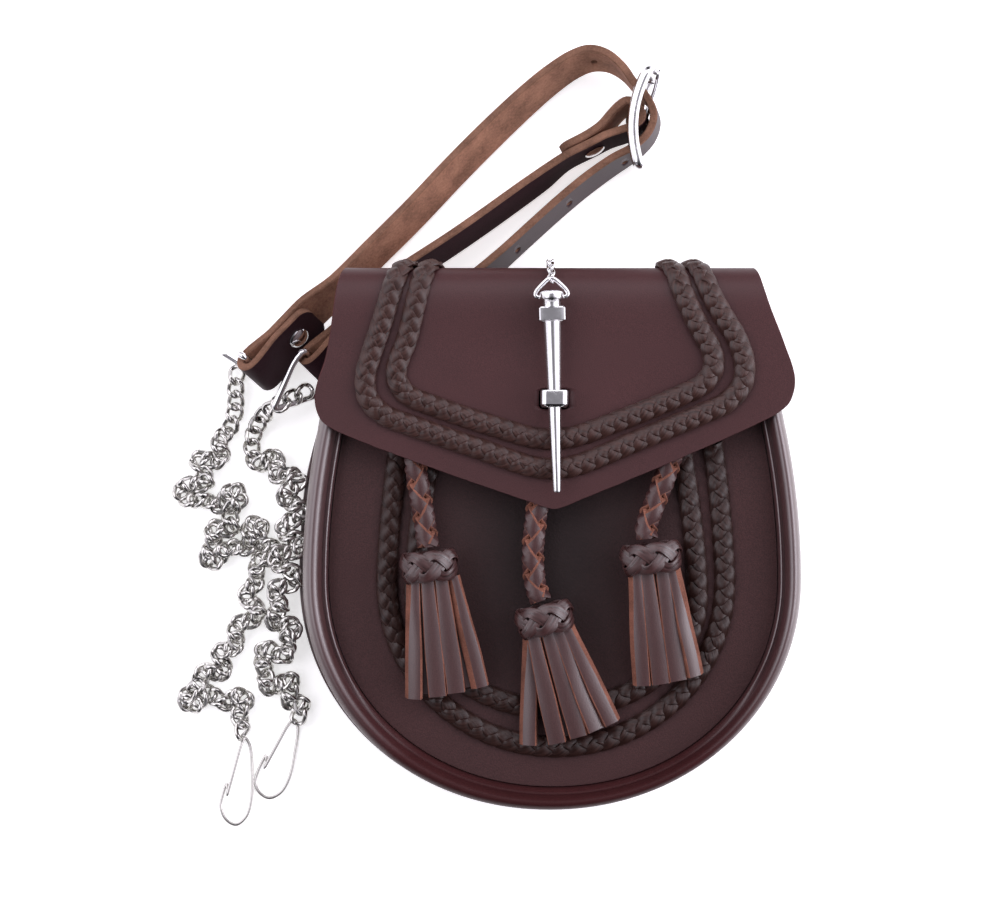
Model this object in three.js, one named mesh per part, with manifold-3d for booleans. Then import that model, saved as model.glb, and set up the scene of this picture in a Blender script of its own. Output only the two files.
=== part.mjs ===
// Day sporran lying on its back: leather pouch with a folded flap, plaited trims, three tassels,
// a steel peg closure, and its strap, rings, chains and clips laid out beside it.
// Millimetres. The back rests on z = 0, +Y points to the folded top edge, +Z out of the front.
import * as THREE from 'three';
import { mergeVertices } from 'three/addons/utils/BufferGeometryUtils.js';
import Module from 'manifold-3d';

const wasm = await Module();
wasm.setup();

// Leather and clearances
const GAP = 0.3;
const SHEET = 2.4;
const GUSSET = 2;
const PANEL = 2.2;

// Pouch outline: half ellipse below, wide arcs at the sides, straight lines above
const POUCH_HALF = 93.6;
const WIDEST_Y = -13.1;
const BOTTOM_DROP = 87.5;
const BOTTOM_FULL = 0.97;
const SIDE_R = 285;
const SIDE_TOP_Y = 43.2;
const SIDE_LEAN = THREE.MathUtils.degToRad(11.4);
const GUSSET_TOP_Y = 92;
const FLANGE = 4.4;
const FLANGE_FADE = { from: 16, to: 62 };

// Heights above the floor
const RIM_TOP = 40;
const PANEL_TOP = 30.5;
const FLAP_UNDER = RIM_TOP + 0.4;
const FLAP_TOP = FLAP_UNDER + SHEET;
const PANEL_INSET = 10.7;
const PANEL_TOP_Y = 86;
const LEDGE = -15;

// Back: flat, then rising towards the fold
const RISE = THREE.MathUtils.degToRad(17.5);
const BEND_R = 100;
const BEND_Y = 4;
const FOLD_Y = 97;
const BEND_END_Y = BEND_Y + BEND_R * Math.sin(RISE);
const BEND_END_Z = SHEET / 2 + BEND_R * (1 - Math.cos(RISE));
const FOLD_Z = BEND_END_Z + (FOLD_Y - BEND_END_Y) * Math.tan(RISE);
const FOLD_R = (FLAP_UNDER + SHEET / 2 - FOLD_Z) / (1 + Math.cos(RISE));
const FOLD_CY = FOLD_Y - FOLD_R * Math.sin(RISE);
const FOLD_CZ = FOLD_Z + FOLD_R * Math.cos(RISE);
const FOLD_OUT = FOLD_R + SHEET / 2;
const FOLD_HALF = 77.2;
const FOLD_FLARE = 3.4;

// Flap: rows of half width, pulled a little to one side as it hangs
const FLAP_SHIFT = 1.8;
const FLAP_SKEW = 0.035;
const SKEW_FROM_Y = 100;
const SKEW_LENGTH = 30;
const FLAP_ROWS = [
  { v: 85, half: 82.9 },
  { v: 72, half: 86.4 },
  { v: 65, half: 88.9 },
  { v: 60.5, half: 90 },
  { v: 57, half: 90.1 },
  { v: 53.5, half: 89.4 },
  { v: 50, half: 87.8 },
  { v: 46.8, half: 84 },
  { v: 42.3, half: 74.8 },
  { v: 30, half: 44.8 },
  { v: 20, half: 18.8 },
  { v: 16.4, half: 9 },
  { v: 14.4, half: 4 },
  { v: 13.6, half: 1.2 },
];

// Plaited trims
const PLAIT_HALF = 4.1;
const PLAIT_HIGH = 3.2;
const FLAP_PLAIT_WRAP = 1.9;
const FLAP_PLAIT_OUTER = [
  { u: 55.6, v: 106 },
  { u: 59.7, v: 95 },
  { u: 64, v: 84.6 },
  { u: 68.6, v: 74.2 },
  { u: 71, v: 65.4 },
  { u: 70, v: 57.6 },
  { u: 64.4, v: 51.4 },
  { u: 53.7, v: 46.7 },
  { u: 29.9, v: 37.7 },
  { u: 6, v: 29.2 },
];
const FLAP_PLAIT_INNER = [
  { u: 46.1, v: 106 },
  { u: 49.6, v: 95 },
  { u: 55, v: 79 },
  { u: 59, v: 70 },
  { u: 59.2, v: 64 },
  { u: 55.5, v: 58.5 },
  { u: 46, v: 54 },
  { u: 23.8, v: 45.7 },
  { u: 6, v: 40.2 },
];
const FRONT_PLAIT_X = 2.4;
const FRONT_PLAIT_OUTER = { half: 64, midY: -15, drop: 61.8, topHalf: 59.4, topY: 38 };
const FRONT_PLAIT_INNER = { half: 53.6, midY: -20, drop: 42.5, topHalf: 47.6, topY: 35 };

// Tassels: cord path, knot and strips, all in the plan of the front
const CORD_HALF = 4.3;
const CORD_THICK = 5.8;
const CORD_Z = PANEL_TOP + GAP + PLAIT_HIGH + GAP + CORD_THICK / 2;
const KNOT_Z = 41.8;
const KNOT_DEEP = 7;
const KNOT_HIGH = 6.2;
const STRIP_WIDE = 6;
const STRIP_THICK = 2;
const STRIP_SPLAY_FRONT = { top: 43.4, foot: 38.8 };
const STRIP_SPLAY_BACK = { top: 40.4, foot: 36.2 };
const TASSELS = [
  {
    name: 'left',
    cord: [[-50.6, 45], [-50.8, 36.5], [-50.3, 28], [-48.4, 16], [-46.2, 2], [-45.9, -0.9]],
    knot: { x: -45.3, y: -8, half: 10.6, tilt: 6 },
    front: [
      { top: -51.3, foot: -51.4, footY: -57.9 },
      { top: -46, foot: -41.8, footY: -57 },
      { top: -40.6, foot: -33.8, footY: -55.6 },
      { top: -37.2, foot: -25.2, footY: -53.5 },
    ],
    back: [
      { top: -48.6, foot: -46.4, footY: -56.2 },
      { top: -42.8, foot: -37.8, footY: -55 },
      { top: -38.8, foot: -29.4, footY: -53.2 },
    ],
  },
  {
    name: 'middle',
    cord: [[-4.2, 36], [-4.3, 27], [-4.9, 13], [-6.3, -1.8], [-5.6, -14], [-3.4, -21.2]],
    knot: { x: -1.9, y: -27.9, half: 10.8, tilt: 13 },
    front: [
      { top: -8.3, foot: -8.2, footY: -75.7 },
      { top: -5, foot: 2.4, footY: -74.6 },
      { top: -1, foot: 10.4, footY: -72.4 },
      { top: 2.8, foot: 17.6, footY: -69.8 },
      { top: 6.4, foot: 24.4, footY: -67.2 },
    ],
    back: [
      { top: -6.4, foot: -2.6, footY: -73.8 },
      { top: -0.8, foot: 6.8, footY: -72 },
      { top: 3.6, foot: 20.8, footY: -66.8 },
    ],
  },
  {
    name: 'right',
    cord: [[48.2, 45], [47, 37], [43.6, 26], [38.6, 13.2], [36.4, 6.4], [36.6, 2.2]],
    knot: { x: 38, y: -4.9, half: 11.4, tilt: 7 },
    front: [
      { top: 32, foot: 34.6, footY: -53 },
      { top: 36.6, foot: 42.2, footY: -52.3 },
      { top: 42, foot: 49.2, footY: -51 },
      { top: 46.2, foot: 56.4, footY: -49.2 },
    ],
    back: [
      { top: 34.4, foot: 38.4, footY: -51.6 },
      { top: 39, foot: 45.8, footY: -50.2 },
      { top: 43.8, foot: 52.8, footY: -48.8 },
    ],
  },
];

// Peg closure, along -Y from its head, leaning slightly as it hangs
const PEG_TOP = new THREE.Vector3(0.4, 95.2, 49.2);
const PEG_TIP = new THREE.Vector3(2.5, 19.7, 48.8);
const PEG_PROFILE = [
  { at: 0, r: 4 },
  { at: 0.7, r: 4.6 },
  { at: 3.4, r: 4.6 },
  { at: 4.2, r: 4 },
  { at: 4.9, r: 3.4 },
  { at: 6.4, r: 3.4 },
  { at: 11.4, r: 3.4 },
  { at: 12, r: 3.35 },
  { at: 40, r: 2.5 },
  { at: 74.9, r: 1.5 },
  { at: 75.5, r: 1.2 },
];
const COLLAR = { from: 6.2, to: 11.7, half: 4.9, deep: 4.6 };
const BAIL_R = 0.85;
const BAIL_AT = 2.4;
const STAPLE_AT = 40.4;
const STAPLE = { half: 5.2, halfY: 3.25, top: 53.2, stemHalf: 4.2, stemHalfY: 2.3 };
const STAPLE_BORE = 2.85;
const SLOT = { half: 5.7, halfY: 3.9 };
const PEG_CHAIN_R = 1.5;
const PEG_CHAIN_TURN = { from: 46, to: -44, steps: 6 };
const PEG_STUD_TURN = -62;
const BAIL_HIGH = 6.9;

// Strap: stations of its middle line in plan, lean of its top edge over its bottom edge, and lift
const STRAP_WIDE = 18;
const STRAP_THICK = 3;
const LOOP_R = 3.25;
const LAYER = STRAP_THICK + 2 * GAP;
const LONG_STRAP = [
  { x: -81, y: 98.1, leanX: -4.4, leanY: 7.6, lift: 2.2 },
  { x: -67.1, y: 112, leanX: -4.8, leanY: 7.2, lift: 0.7 },
  { x: -52.3, y: 126.8, leanX: -4.8, leanY: 7.2, lift: 0 },
  { x: -36.4, y: 143.6, leanX: -4.8, leanY: 7.2, lift: 0 },
  { x: -22.6, y: 157.5, leanX: -4.6, leanY: 7.2, lift: 0 },
  { x: -7.9, y: 171.3, leanX: -4, leanY: 7.1, lift: 0.5 },
  { x: 1.4, y: 179, leanX: -3.2, leanY: 7, lift: 1.2 },
  { x: 9.9, y: 184.6, leanX: -2.6, leanY: 6.6, lift: 2 },
  { x: 16.5, y: 186.8, leanX: -2.3, leanY: 6, lift: 2.8 },
  { x: 23, y: 185.6, leanX: -2.2, leanY: 4.6, lift: 3.6 },
  { x: 29, y: 181.2, leanX: -2.2, leanY: 3, lift: 4.4 },
  { x: 33.4, y: 175.6, leanX: -2.3, leanY: 1.6, lift: 4.9 },
  { x: 38.4, y: 170, leanX: -2.3, leanY: 1.1, lift: 5.2 },
  { x: 41, y: 163.4, leanX: -2.3, leanY: 1.1, lift: 5.4 },
  { x: 39.2, y: 156.8, leanX: -2.3, leanY: 1.3, lift: 5.6 },
  { x: 33.8, y: 151, leanX: -2.2, leanY: 2.2, lift: 5.8 },
  { x: 24.4, y: 145.2, leanX: -2, leanY: 4, lift: 4 },
  { x: 14.2, y: 138, leanX: -2, leanY: 4.4, lift: 1.4 },
  { x: 4.5, y: 130, leanX: -2, leanY: 4.4, lift: 0.3 },
  { x: -5.2, y: 121.3, leanX: -2, leanY: 4.4, lift: 0 },
  { x: -14.9, y: 112.4, leanX: -2, leanY: 4.5, lift: 0 },
  { x: -22.6, y: 105.4, leanX: -2.6, leanY: 5, lift: 0 },
  { x: -30.4, y: 98.4, leanX: -3.6, leanY: 6, lift: 0 },
  { x: -37.4, y: 92.2, leanX: -4, leanY: 6.6, lift: 0 },
];
const SHORT_STRAP = [
  { x: -71.1, y: 92.6, leanX: -2, leanY: 5.4, lift: 0 },
  { x: -61.4, y: 99.6, leanX: -1.6, leanY: 4, lift: 0 },
  { x: -53.4, y: 104.6, leanX: -1.5, leanY: 3.6, lift: 0 },
  { x: -38.5, y: 113.9, leanX: -1.5, leanY: 3.5, lift: 0 },
  { x: -24.7, y: 123.3, leanX: -1.5, leanY: 3.5, lift: 0 },
  { x: -9.9, y: 134.5, leanX: -1.5, leanY: 3.5, lift: 0.6 },
  { x: -1.6, y: 141, leanX: -1.8, leanY: 2.8, lift: 1.8 },
];
const FOLD_BACK = { long: 30, short: 25, buckle: 31 };
const RIVET_FROM_BAR = 19.5;
const HOLE_R = 1.3;
const HOLE_PITCH = 27.5;

// Rings at the strap ends: bar through the fold, and the corner where the chain hangs
const RING_R = 1.3;
const RING = { barHalf: 11.9, shoulder: 10.9, shoulderOut: 6.6, bend: 2.6 };
const RING_LEFT = { bar: [-111.6, 66.6, 14.1], along: [-0.44, 0.43, 0.788], corner: [-127.8, 74.2, 2] };
const RING_RIGHT = { bar: [-88.1, 68.1, 10.2], along: [-0.5, 0.515, 0.697], corner: [-106.3, 51.1, 13] };

// Buckle standing on edge: rails run along u, bars along the strap's width
const BUCKLE_AT = new THREE.Vector3(33.6, 162.5, 14.6);
const BUCKLE_W = new THREE.Vector3(-0.13, 0.06, 0.99).normalize();
const BUCKLE_HALF = 19;
const BUCKLE_BOW = 4;
const RAIL_R = 1.7;
const RAIL_AT = STRAP_WIDE / 2 + 0.9 + RAIL_R;
const BAR_R = 1.5;
const PRONG_R = 1.1;
const PRONG_EYE = BAR_R + GAP + PRONG_R;
const PRONG_EYE_TURN = { from: 366, to: 100, steps: 7 };

// Rivets through the folded strap ends
const RIVET_HEAD = 4.1;
const RIVET_SHANK = 1.8;
const RIVET_DOME = 1;
const RIVET_CLEAR = 0.55;

// Chains and clips: routes on the floor
const CHAIN_R = 2.4;
const CHAIN_SIDES = 8;
const CHAIN_STEPS = 47;
const CHAIN_LEFT = [
  [-120.7, 67.2, 2.8], [-121.8, 60.6, 2.8], [-121.4, 53.1, 2.8], [-123.4, 45.4, 2.8], [-127, 37.6, 2.8],
  [-132, 30.6, 2.8], [-136.6, 24.6, 2.8], [-138.4, 18, 2.8], [-133.6, 13.6, 2.8], [-128, 17.2, 2.8],
  [-122.4, 17.8, 2.8], [-121.6, 11.4, 2.8], [-126, 5.6, 2.8], [-131.4, 0.4, 2.8], [-130.4, -6, 2.8],
  [-124, -5.2, 2.8], [-118.6, -0.4, 2.8], [-113.6, 4.6, 2.8], [-109.4, 0.6, 2.8], [-109.4, -6.6, 2.8],
  [-113.6, -12, 2.8], [-115.8, -18, 2.8], [-114, -24.6, 2.8], [-117.2, -31.2, 2.8], [-122.4, -37.6, 2.8],
  [-125.6, -44.4, 2.8], [-129.4, -50.6, 2.8], [-135.6, -53.2, 2.8], [-139.6, -58, 2.8], [-135.6, -62.4, 2.8],
  [-128.4, -60.8, 2.8], [-121.6, -60.2, 2.8], [-118.8, -67, 2.8], [-119.7, -75.9, 2.6],
];
const CHAIN_RIGHT = [
  [-106.5, 52, 11.1], [-110.4, 49.2, 5.6], [-113.6, 44.4, 3], [-115.6, 37.6, 2.8], [-113.2, 31.2, 2.8],
  [-106.8, 30, 3.4], [-101.6, 26.2, 6.6], [-98.8, 20, 8], [-98.4, 13, 8], [-99.6, 6.4, 8],
  [-99.4, -0.4, 8], [-101.4, -7, 8], [-101.6, -13.6, 7.4], [-103, -20, 6], [-106.8, -25.6, 4.4],
  [-103.6, -31.2, 5], [-98.4, -35.4, 7.8], [-100.8, -41.4, 6], [-107.2, -41.6, 3.4], [-111.6, -46.2, 2.8],
  [-110.6, -52.8, 2.8], [-104.8, -55, 2.8], [-100, -58.8, 2.8], [-95.8, -63, 2.8], [-98, -69.8, 2.6],
];
const CLIP_R = 0.65;
const CLIP_LEFT = [
  [-125.2, -98.6, 2.6], [-123.4, -89, 2.6], [-121.7, -79.4, 2], [-119.8, -76.6, 0.9], [-118, -80.4, 0.9],
  [-116.7, -89.2, 0.9], [-117, -100.9, 0.9], [-118.6, -107.6, 0.9], [-121.9, -110.4, 0.9], [-125.2, -107.8, 0.9],
  [-127.4, -102.4, 0.9], [-126.6, -97, 0.9], [-124.8, -92.6, 0.9], [-126.6, -90.4, 0.9],
];
const CLIP_RIGHT = [
  [-111.6, -89.4, 2.6], [-106.2, -80, 2.6], [-100.6, -72.4, 2], [-98.2, -70.4, 0.9], [-97.6, -74, 0.9],
  [-98.3, -80.4, 0.9], [-100.3, -91.1, 0.9], [-103, -97.2, 0.9], [-107.4, -100.2, 0.9], [-111.6, -98.6, 0.9],
  [-114.1, -94.2, 0.9], [-113.2, -88.8, 0.9], [-110.6, -84.6, 0.9], [-112, -82, 0.9],
];

// Finishes: colour, roughness, metalness
const LEATHER = [0x4a3134, 0.55, 0];
const DARK_LEATHER = [0x3a282b, 0.5, 0];
const STRAP_LEATHER = [0x5c4038, 0.7, 0];
const STEEL = [0xdcdbde, 0.2, 1];

const V = (x, y, z) => new THREE.Vector3(x, y, z);
const group = new THREE.Group();

function add(name, geometry, [color, roughness, metalness]) {
  const mesh = new THREE.Mesh(geometry, new THREE.MeshStandardMaterial({ color, roughness, metalness }));
  mesh.name = name;
  group.add(mesh);
}

function welded(positions, index) {
  const geometry = new THREE.BufferGeometry();
  geometry.setAttribute('position', new THREE.Float32BufferAttribute(positions, 3));
  geometry.setIndex(index);
  return geometry;
}

function volume(positions, index) {
  const [a, b, c] = [V(0, 0, 0), V(0, 0, 0), V(0, 0, 0)];
  let sum = 0;
  for (let i = 0; i < index.length; i += 3) {
    a.fromArray(positions, 3 * index[i]);
    b.fromArray(positions, 3 * index[i + 1]);
    c.fromArray(positions, 3 * index[i + 2]);
    sum += a.dot(b.cross(c));
  }
  return sum;
}

// Closed body through a row of loops; each loop runs out along one side and back along the other
function loft(loops, closed = false) {
  const count = loops[0].length;
  const positions = loops.flat().flatMap((p) => p.toArray());
  const index = [];
  const rows = closed ? loops.length : loops.length - 1;
  for (let r = 0; r < rows; r += 1) {
    const a = r * count;
    const b = ((r + 1) % loops.length) * count;
    for (let i = 0; i < count; i += 1) {
      const j = (i + 1) % count;
      index.push(a + i, a + j, b + j, a + i, b + j, b + i);
    }
  }
  if (!closed) {
    const last = (loops.length - 1) * count;
    for (let i = 0; i < count / 2 - 1; i += 1) {
      const quad = [i, i + 1, count - 2 - i, count - 1 - i];
      const thin = i === count / 2 - 2 && quad[1] === quad[2];
      index.push(quad[0], quad[2], quad[1]);
      index.push(last + quad[0], last + quad[1], last + quad[2]);
      if (!thin) {
        index.push(quad[0], quad[3], quad[2]);
        index.push(last + quad[0], last + quad[2], last + quad[3]);
      }
    }
  }
  if (volume(positions, index) < 0) {
    index.reverse();
  }
  return welded(positions, index);
}

function solid(geometry) {
  const bare = geometry.clone();
  bare.deleteAttribute('normal');
  bare.deleteAttribute('uv');
  const merged = mergeVertices(bare, 1e-4);
  return new wasm.Manifold(new wasm.Mesh({
    numProp: 3,
    vertProperties: new Float32Array(merged.attributes.position.array),
    triVerts: new Uint32Array(merged.index.array),
  }));
}

function fromSolid(body) {
  const mesh = body.getMesh();
  return welded(Array.from(mesh.vertProperties), Array.from(mesh.triVerts));
}

const join = (parts) => fromSolid(wasm.Manifold.union(parts.map(solid)));
const cut = (part, tools) => fromSolid(solid(part).subtract(wasm.Manifold.union(tools.map(solid))));

function box(x0, x1, y0, y1, z0, z1) {
  const geometry = new THREE.BoxGeometry(x1 - x0, y1 - y0, z1 - z0);
  return geometry.translate((x0 + x1) / 2, (y0 + y1) / 2, (z0 + z1) / 2);
}

// Ring of points round a middle, in the plane of two axes
function ring(middle, axisA, axisB, halfA, halfB, sides) {
  const points = [];
  for (let i = 0; i < sides; i += 1) {
    const angle = (2 * Math.PI * (i + 0.5)) / sides;
    points.push(middle.clone()
      .addScaledVector(axisA, halfA * Math.cos(angle))
      .addScaledVector(axisB, halfB * Math.sin(angle)));
  }
  return points;
}

// Round wire through points, with its cross axes carried along the path
function wire(points, radius, sides, closed = false, flat = radius, up = V(0, 0, 1)) {
  const count = points.length;
  let side = null;
  const loops = points.map((point, i) => {
    const before = points[closed ? (i + count - 1) % count : Math.max(i - 1, 0)];
    const after = points[closed ? (i + 1) % count : Math.min(i + 1, count - 1)];
    const along = after.clone().sub(before).normalize();
    const start = side ?? up.clone().cross(along);
    side = start.addScaledVector(along, -start.dot(along)).normalize().clone();
    return ring(point, side, along.clone().cross(side), radius, flat, sides);
  });
  return loft(loops, closed);
}

const smooth = (points, steps, closed = false) => new THREE.CatmullRomCurve3(points, closed, 'centripetal')
  .getSpacedPoints(steps).slice(0, closed ? -1 : undefined);

// Turned piece: radii at distances along an axis
function turned(origin, axis, profile, sides) {
  const a = Math.abs(axis.z) < 0.9 ? V(0, 0, 1).cross(axis).normalize() : V(1, 0, 0).cross(axis).normalize();
  const b = axis.clone().cross(a);
  return loft(profile.map(({ at, r }) => ring(origin.clone().addScaledVector(axis, at), a, b, r, r, sides)));
}

// Pouch outline from the top of the right side, round the bottom, to the top of the left side
function outline() {
  const right = [GUSSET_TOP_Y, 68, SIDE_TOP_Y, 24, 4].map((y) => {
    const arc = Math.sqrt(SIDE_R ** 2 - (Math.min(y, SIDE_TOP_Y) - WIDEST_Y) ** 2) - SIDE_R + POUCH_HALF;
    return V(arc - Math.max(y - SIDE_TOP_Y, 0) * Math.tan(SIDE_LEAN), y, 0);
  });
  const steps = 9;
  for (let i = 0; i <= steps; i += 1) {
    const angle = (Math.PI / 2) * (i / steps);
    const across = POUCH_HALF * Math.max(Math.cos(angle), 0) ** BOTTOM_FULL;
    right.push(V(across, WIDEST_Y - BOTTOM_DROP * Math.sin(angle) ** BOTTOM_FULL, 0));
  }
  const left = right.slice(0, -1).reverse().map((p) => V(-p.x, p.y, 0));
  const points = [...right, ...left];
  return points.map((point, i) => {
    const along = points[Math.min(i + 1, points.length - 1)].clone().sub(points[Math.max(i - 1, 0)]);
    return { point, out: V(-along.y, along.x, 0).normalize() };
  });
}
const OUTLINE = outline();
const offset = ({ point, out }, n) => point.clone().addScaledVector(out, n);
const flange = (y) => FLANGE * (1 - THREE.MathUtils.smoothstep(y, FLANGE_FADE.from, FLANGE_FADE.to));

// Middle of the back sheet at a height up the pouch
function backAt(y) {
  if (y <= BEND_Y) {
    return { z: SHEET / 2, slope: 0 };
  }
  if (y <= BEND_END_Y) {
    const slope = Math.asin((y - BEND_Y) / BEND_R);
    return { z: SHEET / 2 + BEND_R * (1 - Math.cos(slope)), slope };
  }
  return { z: BEND_END_Z + (y - BEND_END_Y) * Math.tan(RISE), slope: RISE };
}

const skewAt = (v) => THREE.MathUtils.smoothstep(SKEW_FROM_Y - v, 0, SKEW_LENGTH);

// Point and outward direction on the outer face of the flap and round its fold
function onFlap(u, v, lift) {
  const turn = Math.max(v - FOLD_CY, 0) / FOLD_OUT;
  const out = V(0, Math.sin(turn), Math.cos(turn));
  const pull = skewAt(v);
  const flatY = Math.min(v, FOLD_CY) + FLAP_SKEW * u * pull;
  const base = V(u + FLAP_SHIFT * pull, flatY, FOLD_CZ).addScaledVector(out, FOLD_OUT + lift);
  return { point: base, out };
}

function backAndFlap() {
  const rows = [];
  const row = (left, right, normal) => {
    const half = normal.clone().multiplyScalar(SHEET / 2);
    rows.push([left.clone().sub(half), left.clone().add(half), right.clone().add(half), right.clone().sub(half)]);
  };
  const rightSide = OUTLINE.slice(0, (OUTLINE.length + 1) / 2).reverse();
  for (const station of rightSide) {
    const edge = offset(station, flange(station.point.y));
    const { z, slope } = backAt(edge.y);
    const half = Math.max(edge.x, 6);
    row(V(-half, edge.y, z), V(half, edge.y, z), V(0, -Math.sin(slope), Math.cos(slope)));
  }
  const turns = 10;
  for (let i = 0; i <= turns; i += 1) {
    const angle = -Math.PI / 2 + RISE + (Math.PI - RISE) * (i / turns);
    const out = V(0, Math.cos(angle), Math.sin(angle));
    const middle = V(0, FOLD_CY, FOLD_CZ).addScaledVector(out, FOLD_R);
    const half = FOLD_HALF + FOLD_FLARE * Math.max(angle / (Math.PI / 2), 0);
    row(V(-half, middle.y, middle.z), V(half, middle.y, middle.z), out.clone().negate());
  }
  for (const { v, half } of FLAP_ROWS) {
    const left = onFlap(-half, v, -SHEET / 2);
    const right = onFlap(half, v, -SHEET / 2);
    row(left.point, right.point, left.out.clone().negate());
  }
  const { x, y } = pegAt(STAPLE_AT);
  const slot = box(x - SLOT.half, x + SLOT.half, y - SLOT.halfY, y + SLOT.halfY, FLAP_UNDER - 1, FLAP_TOP + 1);
  return cut(loft(rows), [slot]);
}

// Wall standing on the flange, rolled over into the rim and down to a ledge under the front panel
function gusset() {
  const loops = OUTLINE.map((station) => {
    const { point } = station;
    const { z, slope } = backAt(point.y);
    const foot = z + SHEET / 2 / Math.cos(slope) + GAP;
    const edge = Math.max(flange(point.y), 0.6);
    const lip = PANEL_TOP - PANEL - GAP;
    const turn = -PANEL_INSET + GAP;
    const outside = [
      [edge, foot + GUSSET], [0, foot + GUSSET], [0, RIM_TOP - 9], [-0.9, RIM_TOP - 4.8], [-3, RIM_TOP - 1.4],
      [-5.6, RIM_TOP], [-8.3, RIM_TOP - 1.4], [-10, RIM_TOP - 4.8], [turn, lip], [LEDGE, lip],
    ];
    const inside = [
      [edge, foot], [-GUSSET, foot], [-GUSSET, RIM_TOP - 9], [-2.7, RIM_TOP - 5.6], [-4.1, RIM_TOP - 3.1],
      [-5.6, RIM_TOP - GUSSET], [-7.2, RIM_TOP - 3.1], [-8.2, RIM_TOP - 5.6], [turn + GUSSET, lip - GUSSET],
      [LEDGE, lip - GUSSET],
    ];
    return [...outside, ...inside.reverse()].map(([n, height]) => offset(station, n).setZ(height));
  });
  return loft(loops);
}

function frontPanel() {
  const edge = OUTLINE.map((station) => offset(station, -PANEL_INSET)).filter((p) => p.y < PANEL_TOP_Y - 2);
  const first = edge[0];
  const lean = (edge[1].x - first.x) / (edge[1].y - first.y);
  const topX = first.x + (PANEL_TOP_Y - first.y) * lean;
  const shape = new THREE.Shape([V(topX, PANEL_TOP_Y, 0), ...edge, V(-topX, PANEL_TOP_Y, 0)]);
  return new THREE.ExtrudeGeometry(shape, { depth: PANEL, bevelEnabled: false })
    .translate(0, 0, PANEL_TOP - PANEL);
}

// Plait as one band of low domed section along a path with its outward directions
function band(stations) {
  const loops = stations.map(({ point, out }, i) => {
    const before = stations[Math.max(i - 1, 0)].point;
    const after = stations[Math.min(i + 1, stations.length - 1)].point;
    const across = after.clone().sub(before).cross(out).normalize();
    const section = [[-1, 0], [-0.62, 1], [0.62, 1], [1, 0]];
    return section.map(([a, h]) => point.clone()
      .addScaledVector(across, a * PLAIT_HALF)
      .addScaledVector(out, h * PLAIT_HIGH));
  });
  return loft(loops);
}

function flapPlait(table) {
  const start = { u: table[0].u - 3, v: FOLD_CY + FOLD_OUT * FLAP_PLAIT_WRAP };
  const half = [start, ...table];
  const whole = [...half, ...half.slice().reverse().map(({ u, v }) => ({ u: -u, v }))];
  const plan = smooth(whole.map(({ u, v }) => V(u, v, 0)), 132)
    .filter((p, i) => p.y > FOLD_CY - 4 || i % 4 === 0);
  return band(plan.map((p) => onFlap(p.x, p.y, GAP)));
}

function frontPlait({ half, midY, drop, topHalf, topY }) {
  const right = [0, 0.35, 0.7].map((t) => {
    const y = THREE.MathUtils.lerp(topY, midY, t);
    return V(half - (half - topHalf) * (1 - t) ** 1.6, y, 0);
  });
  for (let i = 0; i <= 8; i += 1) {
    const angle = (Math.PI / 2) * (i / 8);
    right.push(V(half * Math.cos(angle), midY - drop * Math.sin(angle), 0));
  }
  const left = right.slice(0, -1).reverse().map((p) => V(-p.x, p.y, 0));
  const path = smooth([...right, ...left], 40);
  return band(path.map((p) => ({
    point: V(p.x + FRONT_PLAIT_X, p.y, PANEL_TOP + GAP),
    out: V(0, 0, 1),
  })));
}

function tasselCord({ cord }) {
  const points = cord.map(([x, y], i) => {
    const dip = i === 0 ? PANEL_TOP + 2 * GAP + CORD_THICK / 2 : CORD_Z;
    const rise = i === cord.length - 1 ? 0.8 : 0;
    return V(x, y, dip + rise);
  });
  return wire(smooth(points, 11), CORD_HALF, 8, false, CORD_THICK / 2);
}

function knotAxis(tilt) {
  const angle = THREE.MathUtils.degToRad(tilt);
  return V(-Math.sin(angle), Math.cos(angle), 0);
}

function tasselKnot({ knot }) {
  const axis = knotAxis(knot.tilt);
  const across = axis.clone().cross(V(0, 0, 1));
  const profile = [[-1, 0.86], [-0.72, 0.97], [-0.2, 1], [0.2, 1], [0.72, 0.97], [1, 0.84]];
  const middle = V(knot.x, knot.y, KNOT_Z);
  return loft(profile.map(([at, size]) => ring(
    middle.clone().addScaledVector(axis, at * KNOT_HIGH), across, V(0, 0, 1), size * knot.half, size * KNOT_DEEP, 16,
  )));
}

function strip(from, to, sag, wide, thick) {
  const along = to.clone().sub(from).normalize();
  const across = along.clone().cross(V(0, 0, 1)).normalize();
  const out = across.clone().cross(along);
  const middle = from.clone().lerp(to, 0.4).addScaledVector(out, sag);
  return loft([[from, 0.86], [middle, 1], [to, 1]].map(([point, size]) => {
    const side = across.clone().multiplyScalar((size * wide) / 2);
    const face = out.clone().multiplyScalar(thick / 2);
    return [
      point.clone().sub(side).sub(face), point.clone().sub(side).add(face),
      point.clone().add(side).add(face), point.clone().add(side).sub(face),
    ];
  }));
}

function tasselFringe({ knot, front, back }) {
  const axis = knotAxis(knot.tilt);
  const across = axis.clone().cross(V(0, 0, 1));
  const neck = V(knot.x, knot.y, KNOT_Z).addScaledVector(axis, -KNOT_HIGH - GAP);
  const head = loft([[0, 0.8], [-2, 0.84], [-4, 0.8]].map(([at, size]) => ring(
    neck.clone().addScaledVector(axis, at), across, V(0, 0, 1), size * knot.half, size * KNOT_DEEP * 0.8, 12,
  )));
  const strips = [[front, STRIP_SPLAY_FRONT, 0.8], [back, STRIP_SPLAY_BACK, 0.2]].flatMap(([table, splay, sag]) => (
    table.map(({ top, foot, footY }) => {
      const from = neck.clone().addScaledVector(axis, -1);
      from.addScaledVector(across, (top - from.x) / across.x).setZ(splay.top);
      return strip(from, V(foot, footY, splay.foot), sag, STRIP_WIDE, STRIP_THICK);
    })));
  return join([head, ...strips]);
}

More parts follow.
